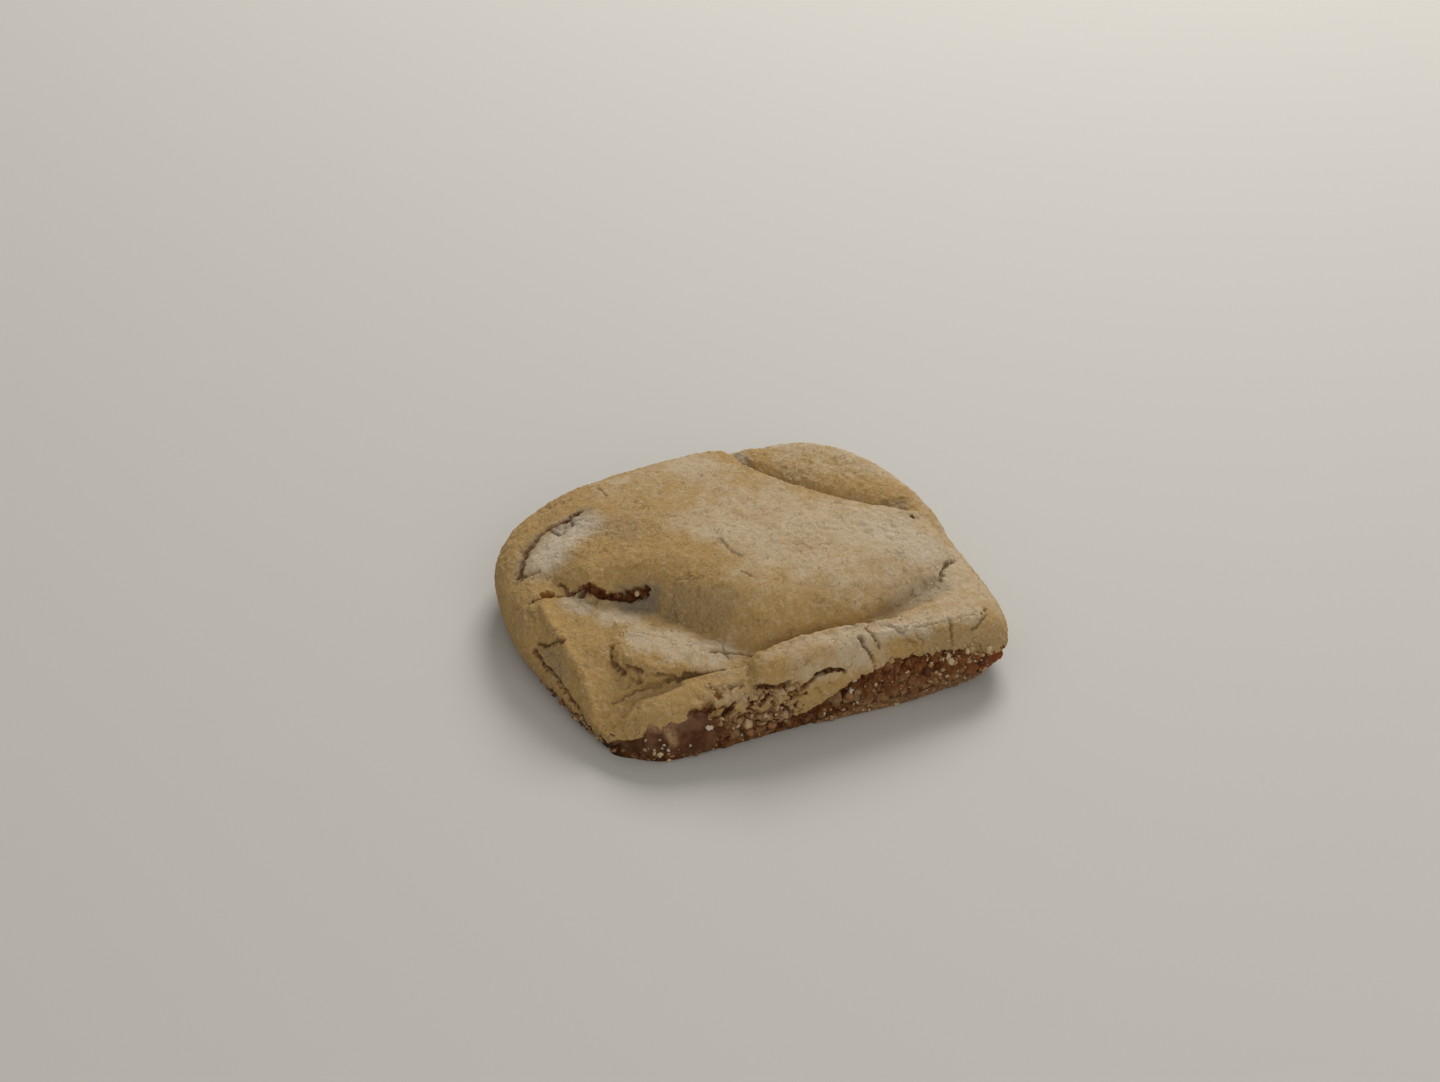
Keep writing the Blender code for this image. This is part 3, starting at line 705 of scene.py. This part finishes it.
def broken(points, size, width, seed=0.0):
    """A surface broken into pieces of about a size: 1 in their creases and 0 off them, and their heights."""
    shift = Vector((seed, seed, seed))
    gaps, heights = [], []
    for p in points:
        away, places = noise.voronoi(Vector(p) / size + shift)
        gaps.append(away[1] - away[0])
        heights.append(noise.noise(places[0] * 5.3))
    return fade(np.array(gaps), 0.0, width), np.array(heights)


def rubble(points, seed=0.0):
    """Depth, about 0 to 1, of a crumbly surface of large pieces broken into small ones, and the height of the
    large piece at each point."""
    loose = wobble(points, 0.4, 1.0, seed)
    creases, heights = broken(loose, COARSE_PIECE, 0.25, seed)
    fine_creases, fine_heights = broken(loose, FINE_PIECE, 0.3, seed + 7.0)
    return 0.55 * creases + 0.40 * heights + 0.15 * fine_creases + 0.22 * fine_heights, heights


def facing(points, normals):
    """How much each point belongs to the top, the front side and the left side."""
    return {
        "top": smooth_step(normals[:, 2], 0.2, 0.5),
        "front": smooth_step(-points[:, 1], 26.0, 31.0) * smooth_step(-normals[:, 1], 0.1, 0.4),
        "left": smooth_step(-points[:, 0], 36.0, 39.0) * smooth_step(-normals[:, 0], 0.2, 0.5),
    }


def broken_front(points):
    """Where the front side of the dough is torn: left of the long crack, and by and under the band."""
    x, _, z = points.T
    across = between(x, -26.5, -24.0, -8.5, -5.0)
    under_line = fade(z - height_on(TORN_LINE, x), -0.9, 0.3)
    by_the_band = 0.5 * smooth_step(x, 3.0, 6.0) * fade(z - height_on(FILLING_EDGE, x), 0.3, 1.6)
    under_the_band = 0.5 * smooth_step(x, -4.0, 0.0) * fade(z - height_on(FILLING_FOOT, x), 0.0, 0.6)
    return np.maximum(across * under_line + by_the_band, under_the_band)


def torn_dough(points, shown):
    """How much the dough is torn where the front side shows, and the depth of the rubble there."""
    torn = broken_front(points) * shown
    at = torn > 0.01
    depth = np.zeros(len(points))
    depth[at] = rubble(points[at], 3.0)[0]
    return torn, depth


def carve(points, normals):
    """How far each point of the dough moves in along its normal, for cracks, clumps, lumps and grain, and how
    much it lies in a crack, where the material paints shade."""
    sides = facing(points, normals)
    loose = wobble(wobble(points, CRACK_WOBBLE, CRACK_WOBBLE_SIZE), FINE_WOBBLE, FINE_WOBBLE_SIZE, 5.0)
    depth = np.zeros(len(points))
    for side, cracks in CRACKS.items():
        for half_width, crack_depth, line in cracks.values():
            cut = crack_depth * dome_of(loose[:, VIEW_AXES[side]], half_width, line)
            depth = np.maximum(depth, cut * sides[side])
    crease_shade = smooth_step(depth, 0.12, 0.8)
    for side, ridges in RIDGES.items():
        for half_width, height, line in ridges.values():
            depth = depth - height * dome_of(points[:, VIEW_AXES[side]], half_width, line) * sides[side]
    for height, radius, place in SWELLS:
        away = np.linalg.norm(points[:, :2] - np.array(place), axis=1)
        depth = depth - height * np.exp(-((away / radius) ** 2)) * sides["top"]

    torn, torn_depth = torn_dough(points, sides["front"])
    depth += TORN_DEPTH * torn * torn_depth
    depth += LUMP_HEIGHT * noise_at(points, LUMP_SIZE, 2, 11.0)
    rough = np.clip(1.0 + 1.2 * noise_at(points, ROUGH_PATCH, 2, 6.0), 0.5, 1.9)
    depth += WRINKLE_HEIGHT * rough * noise_at(points, WRINKLE_SIZE, 3, 2.0)
    depth += GRAIN_HEIGHT * rough * noise_at(points, GRAIN_SIZE, 2, 4.0)
    return depth * smooth_step(points[:, 2], 0.2, 1.2), crease_shade


def set_mask(mesh, name, values):
    """Keep a value of 0 to 1 for each of the mesh's points, where a material can read it."""
    attribute = mesh.attributes.get(name) or mesh.attributes.new(name, "FLOAT", "POINT")
    attribute.data.foreach_set("value", np.clip(values, 0.0, 1.0).astype(np.float32))


def get_mask(mesh, name):
    values = np.empty(len(mesh.vertices), np.float32)
    mesh.attributes[name].data.foreach_get("value", values)
    return values


def browning_and_painted_shade(points, loose, seen):
    """How golden the dough is: most on the flanks of the large fold, at the left and low down, which is
    browning and also painted shade on these less lit faces.
    """
    x, _, z = points.T
    *_, foot = FOLDS["pillow"]
    outline = outline_of(foot)
    depth = nearest_on_line(points[:, :2], outline)[0]
    flank = np.where(is_inside(points[:, :2], outline), fade(depth, 0.0, 14.0), 0.6)
    left = smooth_step(-x, -26.0, 24.0)
    gold = 0.14 + 0.35 * flank + 0.75 * left + 0.40 * fade(z, 6.0, 13.0)
    gold = gold + 0.25 * noise_at(points, 9.0, 3, 21.0)
    for side, strokes in GOLD_AND_PAINTED_LIGHT.items():
        for reach, amount, line in strokes:
            gold = gold + amount * dome_of(loose[:, VIEW_AXES[side]], reach, line) * seen[side]
    return gold


def staining(points):
    """How much the chocolate has stained the dough over and under the filling's band."""
    x, y, z = points.T
    edge = height_on(FILLING_EDGE, x)
    right_of_corner = smooth_step(x, -26.0, -20.0) * (1.0 - 0.75 * smooth_step(x, -12.0, -4.0))
    over_band = fade(z - edge, 0.2, 3.2) * right_of_corner
    under_band = smooth_step(edge - z, 1.0, 2.0)
    return smooth_step(-y, 27.0, 31.0) * np.maximum(0.75 * over_band, 0.7 * under_band)


def paint_dough(mesh, points):
    """Masks on the dough: stains, chocolate that shows through, and browning."""
    loose = wobble(points, PAINT_WOBBLE, PAINT_WOBBLE_SIZE, 9.0)
    seen = {
        "top": smooth_step(points[:, 2], 8.0, 10.0),
        "front": smooth_step(-points[:, 1], 26.0, 29.0),
        "left": smooth_step(-points[:, 0], 36.0, 39.0),
    }
    masks = {"gold": browning_and_painted_shade(points, loose, seen), "stain": staining(points)}
    for name, sides in PAINT.items():
        masks[name] = np.zeros(len(points))
        for side, strokes in sides.items():
            for reach, strength, line in strokes:
                if isinstance(line, str):
                    *_, line = CRACKS[side][line]
                away = distance_to_line(loose[:, VIEW_AXES[side]], line)
                stroke = strength * fade(away, 0.35 * reach, 1.25 * reach) * seen[side]
                masks[name] = np.maximum(masks[name], stroke)
    torn, torn_depth = torn_dough(points, seen["front"])
    # The creases of the torn dough turn chocolate brown by their depth: chocolate showing there, and painted
    # shade
    masks["cocoa"] = np.maximum(masks["cocoa"], torn * smooth_step(torn_depth, 0.44, 0.72))
    masks["stain"] = np.maximum(masks["stain"], 0.6 * torn * smooth_step(torn_depth, 0.22, 0.5))
    for name, values in masks.items():
        set_mask(mesh, name, values)


class Graph:
    """Short names for building a material's nodes."""

    def __init__(self, name):
        self.material = bpy.data.materials.new(name)
        self.material.use_nodes = True
        self.tree = self.material.node_tree
        self.shader = self.tree.nodes["Principled BSDF"]
        self.place = self.tree.nodes.new("ShaderNodeTexCoord").outputs["Object"]

    def connect(self, node, socket, value):
        """Lead another node's output into a socket, or set the socket to a plain value."""
        if isinstance(value, bpy.types.NodeSocket):
            self.tree.links.new(value, node.inputs[socket])
        else:
            node.inputs[socket].default_value = value

    def node(self, kind, *links, **settings):
        node = self.tree.nodes.new(kind)
        for key, value in settings.items():
            setattr(node, key, value)
        for socket, value in links:
            self.connect(node, socket, value)
        return node

    def mask(self, name):
        return self.node("ShaderNodeAttribute", attribute_name=name).outputs["Fac"]

    def vector(self, operation, first, second):
        return self.node("ShaderNodeVectorMath", (0, first), (1, second), operation=operation).outputs[0]

    def spread(self, size, seed):
        """The two links that give a texture features of a size in millimetres."""
        return ("Vector", self.vector("ADD", self.place, (seed,) * 3)), ("Scale", 1.0 / (size * MM))

    def noise(self, size, detail=3.0, roughness=0.55, seed=0.0):
        """Noise from 0 to 1 with features of a size in millimetres."""
        links = (*self.spread(size, seed), ("Detail", detail), ("Roughness", roughness))
        return self.node("ShaderNodeTexNoise", *links).outputs["Fac"]

    def specks(self, size, seed):
        """Distance to the nearest of a scatter of points that lie about a size in millimetres apart."""
        return self.node("ShaderNodeTexVoronoi", *self.spread(size, seed)).outputs["Distance"]

    def creases(self, size):
        """Distance to a net of creases between cells of a size in millimetres."""
        scale = ("Scale", 1.0 / (size * MM))
        push = self.node("ShaderNodeTexNoise", ("Vector", self.place), scale, ("Detail", 3.0))
        pushed = self.vector("MULTIPLY", push.outputs["Color"], (size * MM,) * 3)
        links = (("Vector", self.vector("ADD", self.place, pushed)), scale)
        return self.node("ShaderNodeTexVoronoi", *links, feature="DISTANCE_TO_EDGE").outputs["Distance"]

    def math(self, operation, first, second):
        return self.node("ShaderNodeMath", (0, first), (1, second), operation=operation).outputs[0]

    def plus(self, first, second):
        return self.math("ADD", first, second)

    def times(self, first, second):
        return self.math("MULTIPLY", first, second)

    def ramp(self, value, low, high, bottom=0.0, top=1.0):
        """The value taken from low..high to bottom..top, smoothly and clamped."""
        links = (("Value", value), ("From Min", low), ("From Max", high), ("To Min", bottom), ("To Max", top))
        node = self.node("ShaderNodeMapRange", *links, interpolation_type="SMOOTHSTEP")
        return node.outputs["Result"]

    def mix(self, share, first, second, blend="MIX"):
        """Two colours mixed; each is a socket or three numbers."""
        first, second = (c if isinstance(c, bpy.types.NodeSocket) else (*c, 1.0) for c in (first, second))
        links = ((0, share), (6, first), (7, second))
        return self.node("ShaderNodeMix", *links, data_type="RGBA", blend_type=blend).outputs[2]

    def finish(self, colour, height, bump, roughness, specular=0.3):
        """The material with this colour, and a bump in millimetres where the height is 1."""
        bumped = self.node("ShaderNodeBump", ("Height", height), ("Distance", bump * MM), ("Strength", 1.0))
        self.connect(self.shader, "Base Color", colour)
        self.connect(self.shader, "Normal", bumped.outputs["Normal"])
        self.connect(self.shader, "Roughness", roughness)
        self.connect(self.shader, "Specular IOR Level", specular)
        return self.material


def dough_material():
    """Pale baked dough: browned in patches, sandy, stained where the chocolate comes near, with shade and
    highlights painted on from its masks.
    """
    g = Graph("dough")
    pale = (0.54, 0.42, 0.272)
    golden = (0.44, 0.275, 0.100)
    brown = (0.24, 0.135, 0.055)

    patches = g.ramp(g.noise(4.0, 4.0, 0.7), 0.3, 0.7, -0.22, 0.22)
    # Golden where the dough is browned, and where shade is painted on its less lit faces
    colour = g.mix(g.ramp(g.plus(g.mask("gold"), patches), 0.05, 0.95), pale, golden)
    colour = g.mix(g.ramp(g.noise(1.6, 4.0, 0.65, 1.0), 0.50, 0.68, 0.0, 0.5), colour, (0.40, 0.265, 0.11))
    colour = g.mix(g.ramp(g.noise(1.2, 4.0, 0.65, 2.0), 0.52, 0.70, 0.0, 0.4), colour, (0.60, 0.49, 0.34))

    # Whitish bloom, and a painted highlight on the front rim's shelf
    bloom_and_painted_highlight = g.times(g.mask("bloom_and_painted_highlight"), g.ramp(g.noise(1.1, 4.0, 0.7, 3.0), 0.3, 0.6, 0.45, 1.0))
    colour = g.mix(bloom_and_painted_highlight, colour, (0.64, 0.56, 0.445))
    # Painted shade in greyish brown, and grey where the chocolate shows through the dough
    grey_and_painted_shade = g.times(g.mask("grey_and_painted_shade"), g.ramp(g.noise(2.0, 4.0, 0.6, 4.0), 0.25, 0.6, 0.5, 1.0))
    colour = g.mix(grey_and_painted_shade, colour, (0.235, 0.19, 0.13))
    ragged = g.ramp(g.noise(0.8, 4.0, 0.65, 5.0), 0.25, 0.75, -0.35, 0.35)
    stained = g.ramp(g.plus(g.mask("stain"), ragged), 0.2, 0.8)
    colour = g.mix(stained, colour, (0.20, 0.098, 0.042))
    # Dark reddish brown in the cracks: partly the filling's colour showing, partly painted shade
    colour = g.mix(g.times(g.mask("crease"), 0.7), colour, (0.17, 0.085, 0.03))
    cocoa = g.ramp(g.plus(g.mask("cocoa"), ragged), 0.3, 0.8)
    crumbs = g.ramp(g.noise(0.9, 3.0, 0.6, 14.0), 0.35, 0.65)
    colour = g.mix(cocoa, colour, g.mix(crumbs, (0.070, 0.019, 0.005), (0.19, 0.062, 0.018)))
    orange = g.ramp(g.plus(g.mask("orange"), ragged), 0.35, 0.8)
    colour = g.mix(orange, colour, (0.29, 0.12, 0.018))

    dark = g.ramp(g.specks(0.75, 0.3), 0.10, 0.20, 0.24, 0.0)
    sparse = g.ramp(g.noise(2.5, 2.0, 0.5, 6.0), 0.45, 0.6)
    colour = g.mix(g.times(dark, sparse), colour, brown)
    light = g.ramp(g.specks(0.9, 0.7), 0.12, 0.26, 0.15, 0.0)
    colour = g.mix(light, colour, (0.68, 0.58, 0.43))
    here_and_there = g.ramp(g.noise(3.0, 3.0, 0.6, 12.0), 0.53, 0.66)
    creases = g.times(g.ramp(g.creases(1.7), 0.0, 0.10, 1.0, 0.0), here_and_there)
    colour = g.mix(g.times(creases, 0.28), colour, brown)
    grain = g.ramp(g.noise(0.55, 3.0, 0.65, 7.0), 0.3, 0.7, 0.90, 1.08)
    shade = g.node("ShaderNodeCombineColor", (0, grain), (1, grain), (2, grain)).outputs[0]
    colour = g.mix(1.0, colour, shade, "MULTIPLY")

    height = g.plus(g.noise(0.5, 5.0, 0.7, 8.0), g.times(g.noise(1.5, 4.0, 0.6, 9.0), 1.2))
    height = g.math("SUBTRACT", height, g.times(g.plus(dark, creases), 0.5))
    return g.finish(colour, height, 0.36, g.ramp(g.noise(1.0, 3.0), 0.3, 0.7, 0.7, 0.9), 0.18)


def filling_material():
    """Chocolate: smooth and soft at the near left, crumbly and warmer elsewhere, with painted shade in the
    crumbly part's deep crevices.
    """
    g = Graph("filling")
    crumbly = g.mask("crumbly")
    smooth = g.mix(g.ramp(g.noise(3.0, 4.0, 0.6), 0.35, 0.65), (0.060, 0.021, 0.006), (0.135, 0.060, 0.026))
    dark, light = (0.080, 0.024, 0.005), (0.205, 0.087, 0.028)
    rough = g.mix(g.ramp(g.noise(1.4, 5.0, 0.7, 1.0), 0.35, 0.65), dark, light)
    rough = g.mix(g.ramp(g.noise(3.0, 4.0, 0.65, 11.0), 0.52, 0.68, 0.0, 0.65), rough, (0.30, 0.185, 0.095))
    rough = g.mix(g.ramp(g.noise(2.4, 4.0, 0.65, 12.0), 0.54, 0.68, 0.0, 0.75), rough, (0.050, 0.014, 0.004))
    rough = g.mix(g.ramp(g.noise(0.7, 4.0, 0.7, 2.0), 0.55, 0.70, 0.0, 0.6), rough, (0.38, 0.24, 0.12))
    tan = g.times(g.mask("tan"), g.ramp(g.noise(1.2, 3.0, 0.6, 8.0), 0.3, 0.6))
    rough = g.mix(tan, rough, (0.27, 0.165, 0.075))
    buff = g.mix(g.ramp(g.noise(1.0, 4.0, 0.7, 9.0), 0.35, 0.65), (0.24, 0.125, 0.055), (0.44, 0.30, 0.15))
    rough = g.mix(g.mask("doughy"), rough, buff)
    # Painted shade: nearly black in the deep crevices between the clumps and in the low crack
    rough = g.mix(g.ramp(g.mask("crevice_shade"), 0.38, 0.72), rough, (0.055, 0.014, 0.003))
    colour = g.mix(crumbly, smooth, rough)
    smear = g.times(g.mask("smear"), g.ramp(g.noise(1.0, 4.0, 0.7, 10.0), 0.3, 0.6))
    colour = g.mix(smear, colour, (0.33, 0.20, 0.095))
    red = g.times(g.mask("red"), g.ramp(g.noise(1.4, 4.0, 0.6, 3.0), 0.35, 0.6))
    colour = g.mix(red, colour, (0.26, 0.062, 0.018))
    height = g.times(g.noise(0.55, 5.0, 0.7, 4.0), g.plus(crumbly, 0.12))
    return g.finish(colour, height, 0.35, g.ramp(crumbly, 0.0, 1.0, 0.45, 0.9), 0.12)


def plain_material(name, first, second, size, bump, roughness):
    """Two colours in a fine mix that also differs from one crumb or grain to the next."""
    g = Graph(name)
    tone = g.plus(g.noise(size, 4.0, 0.6), g.ramp(g.mask("tone"), 0.0, 1.0, -0.3, 0.3))
    colour = g.mix(g.ramp(tone, 0.25, 0.75), first, second)
    return g.finish(colour, g.noise(size * 0.5, 4.0, 0.6, 1.0), bump, roughness)


def dress(obj, material):
    obj.data.materials.clear()
    obj.data.materials.append(material)
    obj.data.shade_smooth()


def make_dough():
    dough = make_loaf("cookie_dough")
    remesh(dough, VOXEL * (1.0))
    points, normals = read_points(dough.data)
    paint_dough(dough.data, points)
    depth, crease_shade = carve(points, normals)
    # the crack mask, which the material turns into painted shade in the cracks
    set_mask(dough.data, "crease", crease_shade)
    write_points(dough.data, points - normals * depth[:, None])
    thin_out(dough, DOUGH_TRIANGLES)
    set_mask(dough.data, "skin", np.ones(len(dough.data.vertices)))

    pocket = make_layer("pocket", -LAYER_OVERLAP, POCKET_REACH)
    cut = dough.modifiers.new("Pocket for the filling", "BOOLEAN")
    cut.operation = "DIFFERENCE"
    cut.solver = "MANIFOLD"
    cut.object = pocket
    bake(dough)
    bpy.data.objects.remove(pocket)
    in_pocket = get_mask(dough.data, "skin") < 0.5
    for name, value in POCKET_MASKS.items():
        set_mask(dough.data, name, np.where(in_pocket, value, get_mask(dough.data, name)))
    dress(dough, dough_material())
    return dough


def make_filling():
    filling = make_layer("chocolate_filling", 0.0, 0.0)
    points, normals = read_points(filling.data)
    x, y, z = points.T
    front = smooth_step(-y, 20.0, 24.0)
    corner = 0.5 * fade(z, 1.0, 2.6) * fade(x, -31.0, -28.0)
    crumbly = np.maximum(smooth_step(x, -25.0, -20.5), corner)
    at = (front > 0.0) & (crumbly > 0.0)
    depth, piece = np.zeros(len(points)), np.zeros(len(points))
    depth[at], piece[at] = rubble(points[at], 13.0)
    seen = points[:, VIEW_AXES["front"]]
    crack = dome_of(seen + np.array((0.0, 0.3)), 1.5, LOW_CRACK)
    relief = 0.06 * noise_at(points, 1.3, 4, 31.0) + 0.25 * noise_at(points, 5.0, 2, 33.0)
    relief += crumbly * (FILLING_DEPTH * depth - 0.25) + 2.2 * crack + 0.8 * smooth_step(-x, 35.0, 39.0)
    write_points(filling.data, points - normals * (relief * front * smooth_step(z, 0.1, 0.8))[:, None])

    left_of_crack = between(x, -22.0, -17.0, -9.5, -6.5) * smooth_step(z, 2.0, 3.4)
    doughy = left_of_crack * smooth_step(piece, -0.12, 0.0)
    doughy += 0.5 * smooth_step(x, -4.0, 0.0) * smooth_step(piece, 0.2, 0.3) * fade(z, 7.0, 8.5)
    upright, level = (dome_of(seen, half_width, line) for half_width, line in SMEARS)
    masks = {
        "crumbly": crumbly,
        "crevice_shade": np.maximum(depth, crack),
        "doughy": doughy,
        "smear": np.maximum(upright, 0.8 * level),
        "red": smooth_step(x, 26.0, 31.0) + 0.25 * smooth_step(x, 4.0, 10.0),
        "tan": fade(z, 3.4, 6.5) * smooth_step(x, 2.0, 8.0),
    }
    for name, values in masks.items():
        set_mask(filling.data, name, values)
    dress(filling, filling_material())
    return filling


def surface_of(*objs):
    """A tree to cast rays at, over all the objects."""
    points, faces = [], []
    for obj in objs:
        start = len(points)
        points += [v.co / MM for v in obj.data.vertices]
        faces += [[start + v for v in polygon.vertices] for polygon in obj.data.polygons]
    return BVHTree.FromPolygons(points, faces)


def land(tree, side, across, along):
    """Where a crumb that comes straight at a side of the cookie lands, and the surface's normal there."""
    start, way = {
        "top": (Vector((across, along, 60.0)), Vector((0.0, 0.0, -1.0))),
        "front": (Vector((across, -90.0, along)), Vector((0.0, 1.0, 0.0))),
        "left": (Vector((-90.0, across, along)), Vector((1.0, 0.0, 0.0))),
    }[side]
    place, normal, _, _ = tree.ray_cast(start, way)
    return place, normal


def scatter(name, tree, zones, spots, material, roundness, seed):
    """One mesh of many small lumps, in the zones and at the spots of the tables."""
    chance = random.Random(seed)
    wanted = [(side, *place, size) for side in spots for place, size in spots[side]]
    for side, rows in zones.items():
        for count, (left, right), (low, high), (small, large) in rows:
            for _ in range(count):
                size = small + (large - small) * chance.random() ** 2
                wanted.append((side, chance.uniform(left, right), chance.uniform(low, high), size))

    ball = bmesh.new()
    bmesh.ops.create_icosphere(ball, subdivisions=2, radius=1.0)
    sphere = np.array([v.co for v in ball.verts])
    corners = np.array([[v.index for v in face.verts] for face in ball.faces])
    ball.free()

    points, faces, tones = [], [], []
    for side, across, along, size in wanted:
        place, normal = land(tree, side, across, along)
        if place is None:
            continue
        turn = np.array(Euler([chance.uniform(0.0, 6.28) for _ in range(3)]).to_matrix())
        stretch = np.array([chance.uniform(0.55, 1.4) for _ in range(3)])
        dents = noise_at(sphere + len(points) * 3.7, roundness, 3)
        lump = sphere * stretch * (1.0 + 0.7 * dents)[:, None] * size
        tones += [chance.random()] * len(sphere)
        sunk = np.array(place) - np.array(normal) * 0.2 * size
        faces.append(corners + len(points) * len(sphere))
        points.append(lump @ turn.T + sunk)
    obj = add_mesh(name, points, np.concatenate(faces).tolist())
    set_mask(obj.data, "tone", np.array(tones))
    dress(obj, material)
    return obj


def make_camera():
    camera = add_object("camera", bpy.data.cameras.new("camera"))
    camera.data.lens = CAMERA_LENS
    camera.data.sensor_width = CAMERA_SENSOR
    camera.location = CAMERA_PLACE
    camera.rotation_euler = Euler((math.radians(CAMERA_TILT), 0.0, math.radians(CAMERA_TURN)))
    bpy.context.scene.camera = camera


def add_light(place, size, power, colour):
    """A square softbox that looks at the cookie."""
    lamp = add_object("softbox", bpy.data.lights.new("softbox", "AREA"))
    lamp.data.size = size
    lamp.data.energy = power
    lamp.data.color = colour
    lamp.location = place
    lamp.rotation_euler = (-Vector(place)).to_track_quat("-Z", "Y").to_euler()


def make_studio():
    world = bpy.data.worlds.new("studio")
    world.use_nodes = True
    sky = world.node_tree.nodes["Background"]
    sky.inputs["Color"].default_value = SKY_COLOUR
    sky.inputs["Strength"].default_value = SKY_STRENGTH
    bpy.context.scene.world = world
    for softbox in SOFTBOXES:
        add_light(*softbox)
    bpy.ops.mesh.primitive_plane_add(size=FLOOR_SIZE)
    floor = bpy.context.object
    floor.name = "floor"
    dress(floor, plain_material("floor", (0.535, 0.52, 0.49), (0.555, 0.54, 0.51), 40.0, 0.02, 0.7))
    bpy.context.scene.view_settings.view_transform = "Standard"


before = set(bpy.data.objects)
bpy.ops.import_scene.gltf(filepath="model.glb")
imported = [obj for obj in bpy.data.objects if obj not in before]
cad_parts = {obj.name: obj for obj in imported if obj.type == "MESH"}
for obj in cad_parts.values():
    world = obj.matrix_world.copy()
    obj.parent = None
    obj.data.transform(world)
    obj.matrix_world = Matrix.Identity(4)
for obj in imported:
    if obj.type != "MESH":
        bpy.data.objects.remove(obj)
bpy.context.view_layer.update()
noise.seed_set(SEED)
make_camera()
make_studio()

dough = make_dough()
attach(dough, "root")
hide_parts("dough")

filling = make_filling()
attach(filling, "root")
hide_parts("filling")

tree = surface_of(dough, filling)
pale_crumb = plain_material("dough crumbs", (0.30, 0.18, 0.075), (0.52, 0.38, 0.21), 1.2, 0.15, 0.85)
crumbs = scatter("dough_crumbs", tree, DOUGH_CRUMB_ZONES, DOUGH_CRUMB_SPOTS, pale_crumb, 0.7, seed=11)
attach(crumbs, "root")

dark_crumb = plain_material("chocolate crumbs", (0.085, 0.026, 0.008), (0.27, 0.125, 0.05), 1.5, 0.15, 0.8)
chocolate = scatter("chocolate_crumbs", tree, CHOCOLATE_CRUMB_ZONES, {}, dark_crumb, 0.7, seed=12)
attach(chocolate, "root")

grain = plain_material("sugar", (0.34, 0.26, 0.18), (0.52, 0.43, 0.32), 0.4, 0.05, 0.6)
sugar = scatter("sugar_grains", tree, SUGAR_ZONES, SUGAR_SPOTS, grain, 0.8, seed=13)
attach(sugar, "root")
